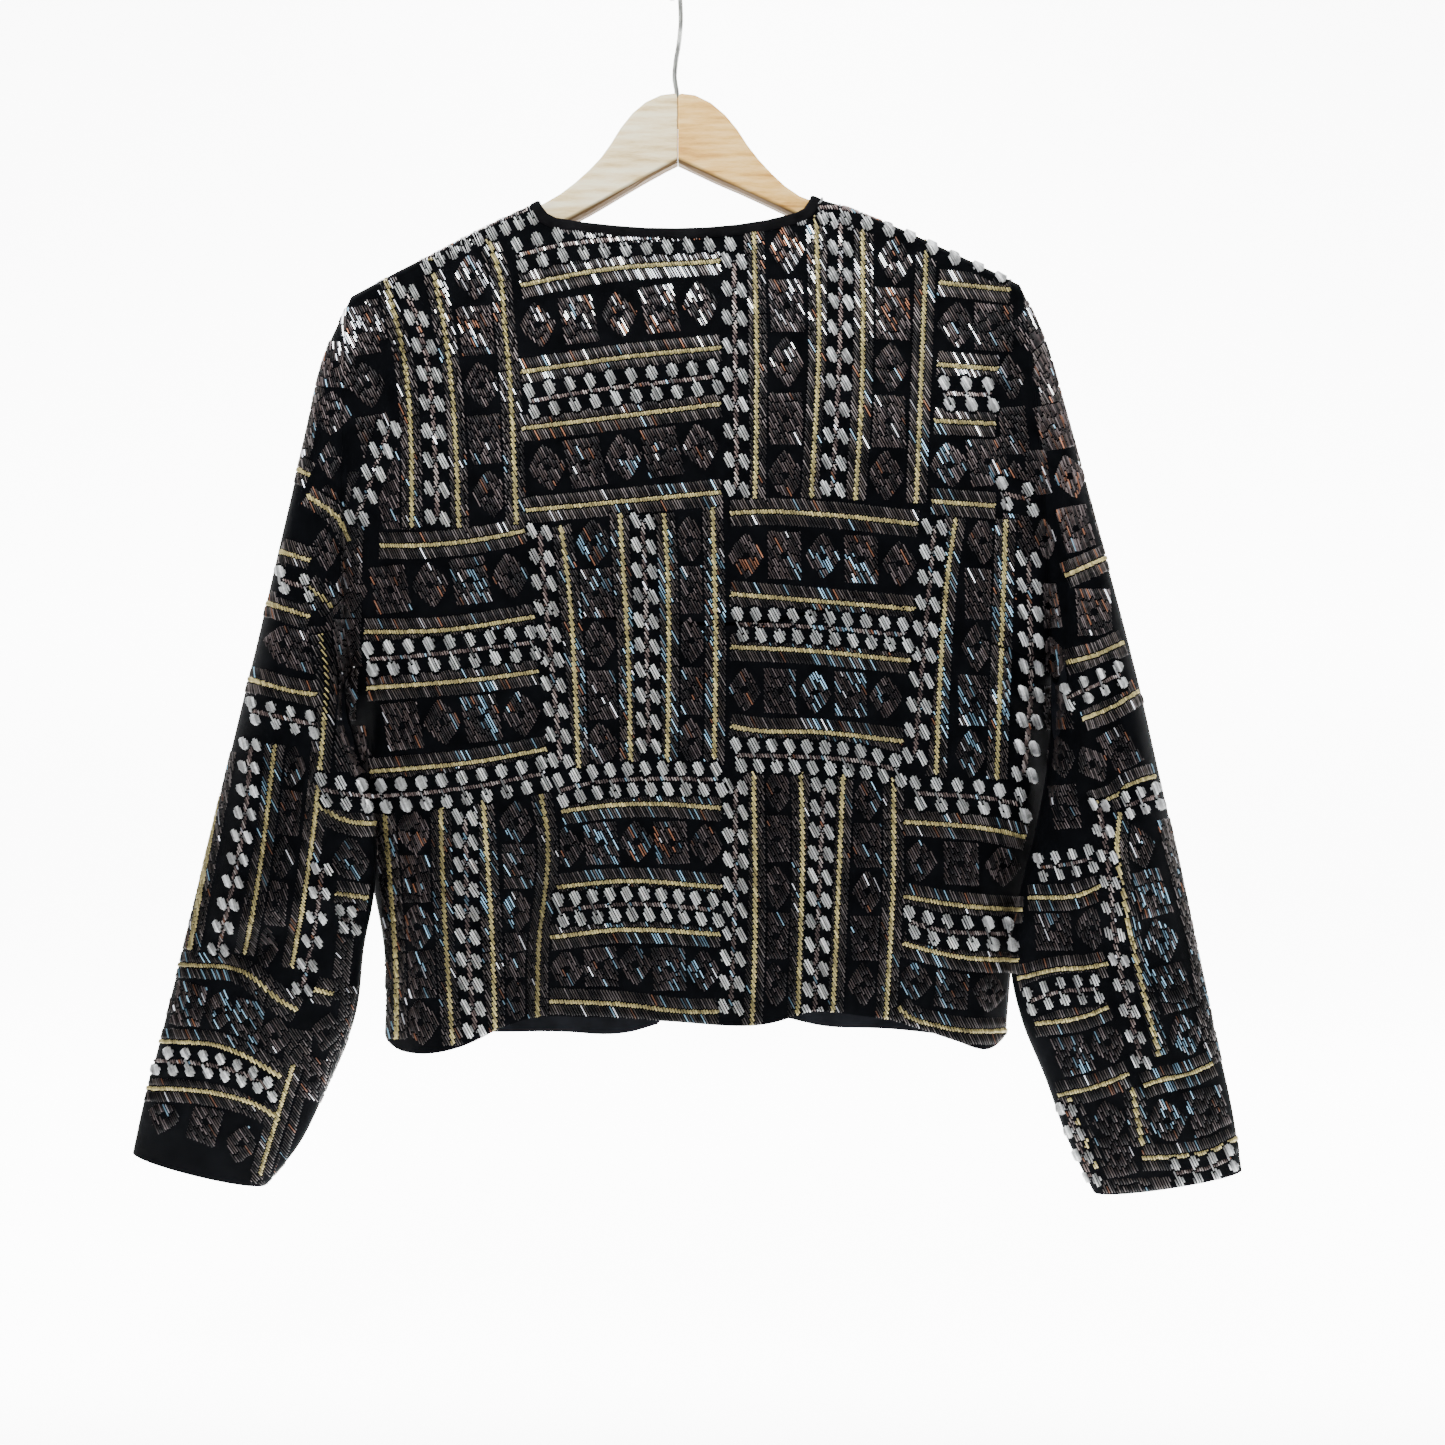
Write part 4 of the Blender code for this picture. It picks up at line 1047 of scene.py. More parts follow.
@dataclass
class Cloth:
    """One piece of cloth: its closed shell, and its outer face laid flat for the beads.

    Attributes:
        name: The CAD node that it stands for.
        place: Gives points from shares across and up and an inset below the outer form.
        columns, rows: The shell's shares across and up.
        zero: The share across where the flat cloth takes its x from the form.
        heading: +1 if the flat cloth's x grows with the share across.
        fine: How many columns and rows the outer face is tabulated in.
        insets: The outer and inner faces' insets.
        points, normals, flat: The outer face's tables, in millimetres.
    """

    name: str
    place: Surface
    columns: list[float]
    rows: list[float]
    zero: float = 0.5
    heading: int = 1
    fine: tuple[int, int] = (420, 460)
    insets: tuple[float, float] = (CLOTH_INSET, WALL)
    points: np.ndarray = field(init=False)
    normals: np.ndarray = field(init=False)
    flat: np.ndarray = field(init=False)

    def lay_flat(self) -> None:
        """Tabulates the outer face, its normals, and the flat cloth's x and z at each of its points."""
        across, up = np.meshgrid(np.linspace(0, 1, self.fine[0]), np.linspace(0, 1, self.fine[1]))
        self.points = np.stack(self.place(across, up, np.full(across.shape, self.insets[0])), axis=-1)
        step = np.hypot(*np.moveaxis(np.diff(self.points[..., :2], axis=1), -1, 0))
        run = np.concatenate([np.zeros((len(step), 1)), np.cumsum(step, axis=1)], axis=1)
        at = round(self.zero * (self.fine[0] - 1))
        x = self.points[:, at : at + 1, 0] + self.heading * (run - run[:, at : at + 1])
        self.flat = np.stack([x, self.points[..., 2]], axis=-1)
        normals = np.cross(np.gradient(self.points, axis=1), np.gradient(self.points, axis=0))
        normals /= np.linalg.norm(normals, axis=-1)[..., None] + 1e-9
        inner = np.stack(self.place(across, up, np.full(across.shape, self.insets[1])), axis=-1)
        self.normals = normals * np.sign(np.mean(np.sum(normals * (self.points - inner), axis=-1)))

    def area(self) -> float:
        """The outer face's area in square metres."""
        sides = np.cross(np.diff(self.points, axis=1)[:-1], np.diff(self.points, axis=0)[:, :-1])
        return float(np.linalg.norm(sides, axis=-1).sum()) * MM * MM

    def cut_size(self) -> tuple[float, float]:
        """The width and length of the flat cloth in metres, with the turn over the shoulder."""
        width = float(np.max(np.abs(self.flat[:, -1, 0] - self.flat[:, 0, 0])))
        down = np.linalg.norm(np.diff(self.points, axis=0), axis=-1).sum(axis=0)
        return width * MM, float(np.max(down)) * MM

    def find(self, x: np.ndarray, z: np.ndarray) -> tuple[np.ndarray, np.ndarray, np.ndarray]:
        """The shares across and up of points on the flat cloth.

        Args:
            x, z: The points' places on the flat cloth, as flat arrays.

        Returns:
            The shares across, the shares up, and whether each point lies on the cloth.
        """
        cell, rounds, stride, near_enough = 6.0, 6, 0.05, 0.3
        low = self.flat.reshape(-1, 2).min(axis=0) - cell
        size = ((self.flat.reshape(-1, 2).max(axis=0) - low) / cell).astype(int) + 2
        start = np.full(size, -1)
        spots = ((self.flat - low) / cell).astype(int).reshape(-1, 2)
        start[spots[:, 0], spots[:, 1]] = np.arange(len(spots))
        i = ((x - low[0]) / cell).astype(int)
        j = ((z - low[1]) / cell).astype(int)
        known = (i >= 0) & (i < size[0]) & (j >= 0) & (j < size[1]) & (x >= low[0]) & (z >= low[1])
        first = np.where(known, start[np.clip(i, 0, size[0] - 1), np.clip(j, 0, size[1] - 1)], -1)
        on = first >= 0
        across = (first % self.fine[0]) / (self.fine[0] - 1.0)
        up = (first // self.fine[0]) / (self.fine[1] - 1.0)
        slopes = [
            np.gradient(self.flat, 1 / (self.fine[0] - 1), axis=1),
            np.gradient(self.flat, 1 / (self.fine[1] - 1), axis=0),
        ]
        picked = np.flatnonzero(on)
        a, u, target = across[picked], up[picked], np.stack([x[picked], z[picked]], axis=1)
        for _ in range(rounds):
            miss = target - sampled(self.flat, a, u)
            by_a, by_u = sampled(slopes[0], a, u), sampled(slopes[1], a, u)
            det = by_a[:, 0] * by_u[:, 1] - by_a[:, 1] * by_u[:, 0]
            det = np.where(np.abs(det) < TINY, TINY, det)
            step_a = (miss[:, 0] * by_u[:, 1] - miss[:, 1] * by_u[:, 0]) / det
            step_u = (miss[:, 1] * by_a[:, 0] - miss[:, 0] * by_a[:, 1]) / det
            a = np.clip(a + np.clip(step_a, -stride, stride), 0, 1)
            u = np.clip(u + np.clip(step_u, -stride, stride), 0, 1)
        across[picked], up[picked] = a, u
        missed = np.abs(target - sampled(self.flat, a, u)).max(axis=1)
        on[picked] = missed < near_enough
        return across, up, on

    def build(self, outside: bpy.types.Material, inside: bpy.types.Material) -> bpy.types.Object:
        """Builds the closed shell, with one finish outside and another inside and at its edges."""
        across, up = np.array(self.columns), np.array(self.rows)
        bpy.ops.mesh.primitive_grid_add(x_subdivisions=len(across) - 1, y_subdivisions=len(up) - 1, size=1)
        made = bpy.context.object
        made.name = made.data.name = self.name + "_cloth"
        bpy.ops.object.mode_set(mode="EDIT")
        bpy.ops.mesh.select_all(action="SELECT")
        bpy.ops.mesh.extrude_region_move(TRANSFORM_OT_translate={"value": (0, 0, 1)})
        bpy.ops.object.mode_set(mode="OBJECT")
        flat = np.empty(len(made.data.vertices) * 3)
        made.data.vertices.foreach_get("co", flat)
        flat = flat.reshape(-1, 3)
        column = np.rint((flat[:, 0] + 0.5) * (len(across) - 1)).astype(int)
        row = np.rint((flat[:, 1] + 0.5) * (len(up) - 1)).astype(int)
        outer = flat[:, 2] > 0.5
        inset = np.where(outer, self.insets[0], self.insets[1])
        placed = np.stack(self.place(across[column], up[row], inset), axis=1)
        made.data.vertices.foreach_set("co", (placed * MM).ravel())
        made.data.materials.append(outside)
        made.data.materials.append(inside)
        for face in made.data.polygons:
            face.material_index = 0 if all(outer[v] for v in face.vertices) else 1
        bpy.ops.object.mode_set(mode="EDIT")
        bpy.ops.mesh.select_all(action="SELECT")
        bpy.ops.mesh.normals_make_consistent(inside=False)
        bpy.ops.object.mode_set(mode="OBJECT")
        bpy.ops.object.shade_smooth_by_angle(angle=SHARP)
        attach(made, "root")
        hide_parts(self.name)
        return made


@dataclass(frozen=True)
class Thread:
    """How one zone is beaded.

    Attributes:
        length: A bead's usual length in millimetres.
        wide, high: A bead's width and height.
        hues: Colours that the beads take, at random.
        lift: How much a dome of close beads rises at its middle.
        longest: A run up to this long is one bead.
    """

    length: float
    wide: float
    high: float
    hues: tuple[Colour, ...]
    lift: float = 0.0
    longest: float = 9.0


def linear(*values: float) -> tuple[float, float, float]:
    """A colour as light from its 0 to 255 values."""
    return tuple((c / 255 / 12.92) if c <= 10 else ((c / 255 + 0.055) / 1.055) ** 2.4 for c in values)


def several(*colours: tuple[int, int, int]) -> tuple[Colour, ...]:
    """Several colours as light."""
    return tuple(linear(*colour) for colour in colours)


BAND_HUES = several((14, 13, 15), (28, 26, 26), (50, 45, 43), (78, 71, 68), (110, 103, 102))
MOTIF_HUES = several((15, 13, 15), (28, 24, 25), (48, 41, 41), (74, 64, 62), (104, 94, 94))
THREADS = {
    Zone.BAND: Thread(7.5, 0.95, 0.7, BAND_HUES),
    Zone.GOLD: Thread(6.4, 1.7, 0.9, several((204, 190, 132), (186, 172, 116), (160, 148, 102))),
    Zone.MOTIF: Thread(8.0, 0.95, 0.8, MOTIF_HUES),
    Zone.STEM: Thread(5.0, 1.2, 0.85, several((124, 108, 104), (84, 71, 69), (172, 160, 156))),
    Zone.OVAL: Thread(9.5, 1.3, 0.8, several((188, 190, 190), (150, 151, 151), (226, 228, 230)), 1.2, 13.0),
}
SUNK = -0.25  # how far a bead's foot stands above the cloth's face
# The painted glints' glow strengths and colours: bright beads that stand in for reflected light.
GLINTS = {"white": 5.0, "blue": 1.8, "copper": 1.0}
GLINT_HUES = {"white": linear(234, 236, 246), "blue": linear(146, 190, 216), "copper": linear(136, 90, 66)}


@dataclass
class Beadwork:
    """The beads on one piece of cloth, laid in slanting rows over the chart.

    Attributes:
        cloth: The piece that carries them.
        chart: The painted pattern.
        seed: The start of the source of chance.
        slant: The rows' fall to the right, in degrees below level.
        pitch: The distance between rows.
        step: How closely the pattern is read along a row.
        gap: The gap between two beads of a row.
        shortest: The shortest bead.
        stagger: How far the ends between two beads of a row move, as a share of a bead.
        ragged: How far a row may run past the edge of a motif or a band.
        ragged_in: How far it may stop short of it, as a share of that.
    """

    cloth: Cloth
    chart: Chart
    seed: int
    slant: float = 62.0
    pitch: float = 1.62
    step: float = 0.5
    gap: float = 0.45
    shortest: float = 1.3
    stagger: float = 0.42
    ragged: float = 0.4
    ragged_in: float = 0.3

    def rows(self) -> tuple[np.ndarray, np.ndarray]:
        """Every point where the pattern is read, as arrays of rows by places on the flat cloth."""
        way = np.array((cos(radians(self.slant)), -sin(radians(self.slant))))
        side = np.array((-way[1], way[0]))
        spots = self.cloth.flat.reshape(-1, 2)
        along, aside = spots @ way, spots @ side
        offsets = np.arange(aside.min(), aside.max(), self.pitch)
        run = np.arange(along.min() - 2, along.max() + 2, self.step)
        return tuple(offsets[:, None] * side[k] + run[None, :] * way[k] for k in range(2))

    def seen(self, points: np.ndarray) -> tuple[np.ndarray, np.ndarray]:
        """Where points of the cloth lie on the chart.

        Args:
            points: The points on the form.

        Returns:
            x and z on the chart: as the camera sees them at the back, and straight on at the front.
        """
        x, y, z = np.moveaxis(points, -1, 0)
        scale = np.where(y < 0, CHART_AWAY / (CAMERA_AWAY + y), CHART_AWAY / CAMERA_AWAY)
        return CAMERA_X + (x - CAMERA_X) * scale, CAMERA_Z + (z - CAMERA_Z) * scale

    def allowed(self, on: np.ndarray, at: np.ndarray, columns: int) -> np.ndarray:
        """Whether each place along the rows is on the cloth."""
        row, place = np.divmod(at, columns)
        spot = (row * (columns - 1) + np.floor(place)).astype(int)
        return on[np.clip(spot, 0, len(on) - 1)] & (place < columns - 2)

    def runs(self) -> tuple[np.ndarray, ...]:
        """Each bead's zone, and the shares across and up of its two ends."""
        x, z = self.rows()
        across, up, on = self.cloth.find(x.ravel(), z.ravel())
        zone = np.full(x.size, -1)
        zone[on] = self.chart.look_up(*self.seen(sampled(self.cloth.points, across[on], up[on])))[0]
        zone = np.concatenate([zone.reshape(x.shape), np.full((len(x), 1), -1)], axis=1).ravel()
        columns = x.shape[1] + 1
        edge = np.flatnonzero(np.diff(zone)) + 1
        start, stop = edge[:-1], edge[1:]
        kind = zone[start]
        keep = (kind > 0) & ((stop - start) * self.step >= self.shortest)
        start, stop, kind = start[keep], stop[keep], kind[keep]
        usual = np.array([1.0] + [THREADS[Zone(k)].length for k in range(1, 6)])[kind]
        longest = np.array([1.0] + [THREADS[Zone(k)].longest for k in range(1, 6)])[kind]
        length = (stop - start) * self.step
        count = np.where(length <= longest, 1, np.maximum(np.rint(length / usual), 1)).astype(int)
        which = np.repeat(np.arange(len(count)), count)
        turn = np.arange(len(which)) - np.repeat(np.cumsum(count) - count, count)
        share = (stop - start)[which] / count[which]
        half_gap = np.where(kind[which] == Zone.GOLD, 0.2, 1.0) * self.gap / 2 / self.step
        nudge = np.random.default_rng(self.seed).uniform(-self.stagger, self.stagger, len(which) + 1)
        first = start[which] + (turn + np.where(turn > 0, nudge[:-1], 0)) * share + half_gap
        nudged = np.where(turn + 1 < count[which], nudge[1:], 0)
        last = start[which] + (turn + 1 + nudged) * share - half_gap - 1
        last = np.maximum(last, first + 1)
        loose = np.isin(kind[which], (Zone.BAND, Zone.MOTIF))
        over = np.random.default_rng(self.seed + 1).uniform(-self.ragged_in, 1, (2, len(which)))
        over = over * self.ragged / self.step
        before, after = first - over[0], last + over[1]
        first = np.where(loose & (turn == 0) & self.allowed(on, before, columns), before, first)
        final = turn + 1 == count[which]
        last = np.where(loose & final & self.allowed(on, after + 1, columns), after, last)
        ends = []
        for at in (first, last):
            row, place = np.divmod(at, columns)
            low = (row * (columns - 1) + np.floor(place)).astype(int)
            high = np.minimum(low + 1, x.size - 1)
            part = np.where(on[high], place - np.floor(place), 0)
            ends.append(tuple(shares[low] * (1 - part) + shares[high] * part for shares in (across, up)))
        return kind[which], ends[0], ends[1]

    def shaded(self, x: np.ndarray, z: np.ndarray) -> np.ndarray:
        """How much light the folds leave at each place of the chart, from 0 to 1."""
        light = np.ones(len(x))
        for wide, depth, line in SHADES:
            away = np.full(len(x), np.inf)
            for (ax, az), (bx, bz) in zip(line, line[1:]):
                run, rise = bx - ax, bz - az
                share = np.clip(((x - ax) * run + (z - az) * rise) / (run * run + rise * rise), 0, 1)
                away = np.minimum(away, (x - ax - share * run) ** 2 + (z - az - share * rise) ** 2)
            light *= 1 - depth * np.exp(-away / wide**2)
        return light

    def tinted(self, rng: np.random.Generator, zone: Zone, x: np.ndarray, z: np.ndarray) -> np.ndarray:
        """Each bead's colour, with its painted shade and painted glints.

        Args:
            rng: The seeded source of chance.
            zone: The beads' zone.
            x, z: The beads' places on the chart.

        Returns:
            One colour a bead, as light, darkened by painted shade, with the strength of its painted glint as
            its fourth value.
        """
        hues = np.array(THREADS[zone].hues)
        tint = hues[rng.integers(len(hues), size=len(x))] * rng.uniform(0.7, 1.3, len(x))[:, None]
        glint = np.zeros(len(x))
        if zone in (Zone.BAND, Zone.MOTIF, Zone.STEM):
            # Painted glints: within each glow's patch some beads take its bright colour and glow.
            for glow in GLOWS:
                near = np.exp(-(((x - glow.x) / glow.wide) ** 2) - ((z - glow.z) / glow.tall) ** 2)
                lit = rng.uniform(size=len(x)) < glow.share * near * (0.5 if zone is Zone.STEM else 0.8)
                shine = rng.uniform(0.2, 1.1, lit.sum())
                tint[lit] = np.array(GLINT_HUES[glow.hue]) * shine[:, None]
                glint[lit] = GLINTS[glow.hue] * shine**2
            # Painted glints scattered at random: a few beads in copper, white and blue.
            stray = rng.uniform(size=len(x))
            for hue, low, high in (("copper", 0, 0.02), ("white", 0.02, 0.035), ("blue", 0.035, 0.05)):
                lit = (stray >= low) & (stray < high)
                shine = rng.uniform(0.3, 0.9, lit.sum())
                tint[lit] = np.array(GLINT_HUES[hue]) * shine[:, None]
                glint[lit] = GLINTS[hue] * shine**2
        # Painted shade along the folds of SHADES, half as deep on the ovals; all beads but the gold and the
        # ovals are also painted lighter towards the top and darker towards the hem.
        light = self.shaded(x, z)
        if zone is Zone.OVAL:
            light = 0.5 + 0.5 * light
        elif zone is not Zone.GOLD:
            light = light * np.interp(z, [-700, -450, -250], [0.7, 0.9, 1.5])
        return np.column_stack([np.clip(tint * light[:, None], 0, 1), glint * light])

    def build(self, finishes: dict[Zone, bpy.types.Material]) -> list[bpy.types.Object]:
        """Builds the beads, one joined mesh for each zone.

        Args:
            finishes: The material of each zone's beads.

        Returns:
            The new objects.
        """
        rng = np.random.default_rng(self.seed)
        kinds, first, last = self.runs()
        made = []
        for zone, thread in THREADS.items():
            pick = kinds == zone
            if not pick.any():
                continue
            ends = [sampled(self.cloth.points, a[pick], u[pick]) for a, u in (first, last)]
            across = [(first[k][pick] + last[k][pick]) / 2 for k in range(2)]
            normal = sampled(self.cloth.normals, *across)
            normal /= np.linalg.norm(normal, axis=1)[:, None]
            way = ends[1] - ends[0]
            long = np.linalg.norm(way, axis=1)[:, None]
            way = way / long
            side = np.cross(normal, way)
            side /= np.linalg.norm(side, axis=1)[:, None]
            spot = self.seen((ends[0] + ends[1]) / 2)
            dome = np.zeros((len(long), 1))
            if thread.lift:
                dome = np.maximum(self.chart.look_up(*spot)[1], 0)[:, None]
            half = thread.wide / 2 * rng.uniform(0.88, 1.08, (len(long), 1))
            high = thread.high * rng.uniform(0.85, 1.15, (len(long), 1)) + thread.lift * np.sqrt(dome)
            shift = side * rng.uniform(-0.12, 0.12, (len(long), 1))
            inward = np.minimum(long * 0.3, 0.4 if zone is Zone.GOLD else 0.9)
            low = [end + shift + normal * SUNK for end in ends]
            ridge_low = ends[0] + shift + way * inward + normal * high
            ridge_high = ends[1] + shift - way * inward + normal * high
            corners = np.stack(
                [
                    low[0] - side * half,
                    low[0] + side * half,
                    low[1] + side * half,
                    low[1] - side * half,
                    ridge_low,
                    ridge_high,
                ],
                axis=1,
            )
            faces = np.array([0, 3, 5, 4, 1, 4, 5, 2, 0, 4, 1, 2, 5, 3, 0, 1, 2, 3])
            loops = (faces[None, :] + 6 * np.arange(len(long))[:, None]).ravel()
            sizes = np.tile([4, 4, 3, 3, 4], len(long))
            name = f"{self.cloth.name}_{zone.name.lower()}_beads"
            beads = mesh_object(name, corners.reshape(-1, 3), loops, sizes)
            tint = self.tinted(rng, zone, *spot)
            # Painted light: an oval's beads are painted lighter at its middle and darker towards its rim, as
            # light falls on a dome.
            if thread.lift:
                tint[:, :3] = np.clip(tint[:, :3] * (0.3 + 0.85 * dome), 0, 1)
            tint = np.repeat(tint[:, None, :], 6, axis=1).astype(np.float32)
            # The tint holds each bead's colour with its painted light and shade, and the strength of its
            # painted glint as alpha.
            layer = beads.data.color_attributes.new(name="tint", type="FLOAT_COLOR", domain="POINT")
            layer.data.foreach_set("color", tint.ravel())
            beads.data.materials.append(finishes[zone])
            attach(beads, "root")
            made.append(beads)
            LOG.info("%s: %d beads", name, len(long))
        return made


class Nodes:
    """A material's node tree, made one node at a time."""

    def __init__(self, name: str) -> None:
        self.material = bpy.data.materials.new(name)
        self.material.use_nodes = True
        self.tree = self.material.node_tree
        self.shader = self.tree.nodes["Principled BSDF"]

    def add(self, kind: str, **settings: object) -> bpy.types.Node:
        """A new node; settings name its attributes, or its inputs with spaces as underscores."""
        node = self.tree.nodes.new("ShaderNode" + kind)
        for key, value in settings.items():
            label = key.replace("_", " ")
            if label in node.inputs:
                node.inputs[label].default_value = value
            else:
                setattr(node, key, value)
        return node

    def link(self, source: bpy.types.NodeSocket, target: bpy.types.NodeSocket) -> None:
        """Joins an output to an input."""
        self.tree.links.new(source, target)

    def noise(self, scale: float, stretch: Colour = (1, 1, 1), turn: float = 0.0) -> bpy.types.Node:
        """A noise texture in the object's own space, stretched and turned about Y."""
        place = self.add("TexCoord")
        mapping = self.add("Mapping", Scale=stretch, Rotation=(0, turn, 0))
        texture = self.add("TexNoise", Scale=scale, Detail=6.0)
        self.link(place.outputs["Object"], mapping.inputs["Vector"])
        self.link(mapping.outputs["Vector"], texture.inputs["Vector"])
        return texture

    def ramp(self, source: bpy.types.NodeSocket, stops: list[tuple[float, Colour]]) -> bpy.types.Node:
        """A colour ramp over a value."""
        ramp = self.add("ValToRGB")
        for _ in stops[2:]:
            ramp.color_ramp.elements.new(0.5)
        for element, (at, colour) in zip(ramp.color_ramp.elements, stops):
            element.position = at
            element.color = (*colour, 1)
        self.link(source, ramp.inputs["Fac"])
        return ramp

    def bump(self, height: bpy.types.NodeSocket, strength: float, distance: float) -> None:
        """Raises the surface by a height."""
        bump = self.add("Bump", Strength=strength, Distance=distance)
        self.link(height, bump.inputs["Height"])
        self.link(bump.outputs["Normal"], self.shader.inputs["Normal"])

    def finish(self, **inputs: object) -> bpy.types.Material:
        """Sets the shader's constant inputs, and returns the material."""
        for key, value in inputs.items():
            self.shader.inputs[key.replace("_", " ")].default_value = value
        return self.material


@dataclass(frozen=True)
class BeadFinish:
    """Small glass beads whose colour, painted shade and painted glints come from their own tint."""

    name: str
    roughness: float = 0.3
    metallic: float = 0.35
    coat: float = 0.5

    def build(self) -> bpy.types.Material:
        """The material: the tint, a little uneven, under a clear coat, with a painted glow where the tint
        marks a glint.
        """
        nodes = Nodes(self.name)
        tint = nodes.add("Attribute", attribute_name="tint")
        noise = nodes.noise(900)
        uneven = nodes.ramp(noise.outputs["Fac"], [(0.3, (0.72, 0.72, 0.72)), (0.7, (1.25, 1.25, 1.25))])
        mix = nodes.add("Mix", data_type="RGBA", blend_type="MULTIPLY")
        mix.inputs[0].default_value = 1.0
        nodes.link(tint.outputs["Color"], mix.inputs[6])
        nodes.link(uneven.outputs["Color"], mix.inputs[7])
        nodes.link(mix.outputs[2], nodes.shader.inputs["Base Color"])
        # Painted glints: the tint's alpha makes glinting beads glow in their own colour.
        nodes.link(tint.outputs["Color"], nodes.shader.inputs["Emission Color"])
        nodes.link(tint.outputs["Alpha"], nodes.shader.inputs["Emission Strength"])
        return nodes.finish(
            Roughness=self.roughness, Metallic=self.metallic, Specular_IOR_Level=0.3,
            Coat_Weight=self.coat, Coat_Roughness=0.15,
        )


@dataclass(frozen=True)
class ClothFinish:
    """A plain woven or satin cloth."""

    name: str
    dark: tuple[float, float, float]
    light: tuple[float, float, float]
    roughness: float = 0.7
    weave: float = 1400.0
    raised: float = 0.00012
    shine: float = 0.01

    def build(self) -> bpy.types.Material:
        """The material: a fine weave from two crossed waves, over a cloudy colour."""
        nodes = Nodes(self.name)
        place = nodes.add("TexCoord")
        waves = []
        for direction in ("X", "Z"):
            wave = nodes.add("TexWave", bands_direction=direction, Scale=self.weave, Distortion=0.6)
            nodes.link(place.outputs["Object"], wave.inputs["Vector"])
            waves.append(wave)
        weave = nodes.add("Math", operation="MAXIMUM")
        nodes.link(waves[0].outputs["Fac"], weave.inputs[0])
        nodes.link(waves[1].outputs["Fac"], weave.inputs[1])
        cloud = nodes.noise(60)
        colour = nodes.ramp(cloud.outputs["Fac"], [(0.3, self.dark), (0.75, self.light)])
        nodes.link(colour.outputs["Color"], nodes.shader.inputs["Base Color"])
        nodes.bump(weave.outputs[0], 0.5, self.raised)
        return nodes.finish(Roughness=self.roughness, Specular_IOR_Level=self.shine)


@dataclass(frozen=True)
class WoodFinish:
    """Varnished maple with fine grain along the arm."""

    name: str
    dark: tuple[float, float, float]
    middle: tuple[float, float, float]
    light: tuple[float, float, float]
    turn: float
    fall: float

    def build(self) -> bpy.types.Material:
        """The material: stretched grain and fine pores under a satin varnish, with painted shade on the
        underside.
        """
        nodes = Nodes(self.name)
        grain = nodes.noise(26, (1.0, 2.5, 9.0), self.turn)
        pores = nodes.noise(260, (1.0, 3.0, 14.0), self.turn)
        both = nodes.add("Math", operation="MULTIPLY_ADD")
        both.inputs[1].default_value = 0.35
        nodes.link(pores.outputs["Fac"], both.inputs[0])
        nodes.link(grain.outputs["Fac"], both.inputs[2])
        colour = nodes.ramp(both.outputs[0], [(0.45, self.dark), (0.65, self.middle), (0.85, self.light)])
        # Painted shade: below the arm's lower edge the colour turns dark brown.
        place = nodes.add("TexCoord")
        axes = nodes.add("SeparateXYZ")
        nodes.link(place.outputs["Object"], axes.inputs[0])
        out = nodes.add("Math", operation="ABSOLUTE")
        nodes.link(axes.outputs["X"], out.inputs[0])
        above = nodes.add("Math", operation="MULTIPLY_ADD")
        above.inputs[1].default_value = self.fall
        nodes.link(out.outputs[0], above.inputs[0])
        nodes.link(axes.outputs["Z"], above.inputs[2])
        share = nodes.add("MapRange")
        share.inputs["From Min"].default_value = -0.1302
        share.inputs["From Max"].default_value = -0.1280
        nodes.link(above.outputs[0], share.inputs["Value"])
        mix = nodes.add("Mix", data_type="RGBA")
        mix.inputs[6].default_value = (*linear(84, 64, 38), 1)
        nodes.link(share.outputs["Result"], mix.inputs[0])
        nodes.link(colour.outputs["Color"], mix.inputs[7])
        nodes.link(mix.outputs[2], nodes.shader.inputs["Base Color"])
        nodes.bump(pores.outputs["Fac"], 0.15, 0.0004)
        return nodes.finish(Roughness=0.55, Specular_IOR_Level=0.2)


@dataclass(frozen=True)
class SteelFinish:
    """Chromed wire with faint drawing marks."""

    name: str = "chromed_steel"

    def build(self) -> bpy.types.Material:
        """The material: metal whose roughness varies a little along the wire."""
        nodes = Nodes(self.name)
        marks = nodes.noise(700, (1, 1, 0.2))
        rough = nodes.ramp(marks.outputs["Fac"], [(0.3, (0.3, 0.3, 0.3)), (0.7, (0.45, 0.45, 0.45))])
        colour = nodes.ramp(marks.outputs["Fac"], [(0.3, (0.17, 0.175, 0.165)), (0.7, (0.32, 0.33, 0.31))])
        nodes.link(rough.outputs["Color"], nodes.shader.inputs["Roughness"])
        nodes.link(colour.outputs["Color"], nodes.shader.inputs["Base Color"])
        return nodes.finish(Metallic=0.7, Specular_IOR_Level=0.2)


@dataclass(frozen=True)
class PaperFinish:
    """The studio's pale, faintly uneven paper."""

    name: str = "pale_paper"
    tone: float = 0.93
    glow: float = 9.0

    def build(self) -> bpy.types.Material:
        """The material: nearly white, with a soft cloud."""
        nodes = Nodes(self.name)
        cloud = nodes.noise(3)
        low = self.tone - 0.02
        stops = [(0.3, (low, low, low)), (0.7, (self.tone, self.tone, self.tone))]
        colour = nodes.ramp(cloud.outputs["Fac"], stops)
        nodes.link(colour.outputs["Color"], nodes.shader.inputs["Base Color"])
        nodes.link(colour.outputs["Color"], nodes.shader.inputs["Emission Color"])
        place = nodes.add("TexCoord")
        axes = nodes.add("SeparateXYZ")
        nodes.link(place.outputs["Object"], axes.inputs[0])
        behind = nodes.add("MapRange", interpolation_type="SMOOTHSTEP")
        for name, value in (("From Min", -0.25), ("From Max", 0.05), ("To Min", 0.0), ("To Max", self.glow)):
            behind.inputs[name].default_value = value
        nodes.link(axes.outputs["Y"], behind.inputs["Value"])
        nodes.link(behind.outputs["Result"], nodes.shader.inputs["Emission Strength"])
        return nodes.finish(Roughness=0.9, Specular_IOR_Level=0.1)


def finer(shares: list[float], times: int) -> list[float]:
    """The same shares with each gap split into even parts."""
    return [a + (b - a) * k / times for a, b in zip(shares, shares[1:]) for k in range(times)] + [shares[-1]]


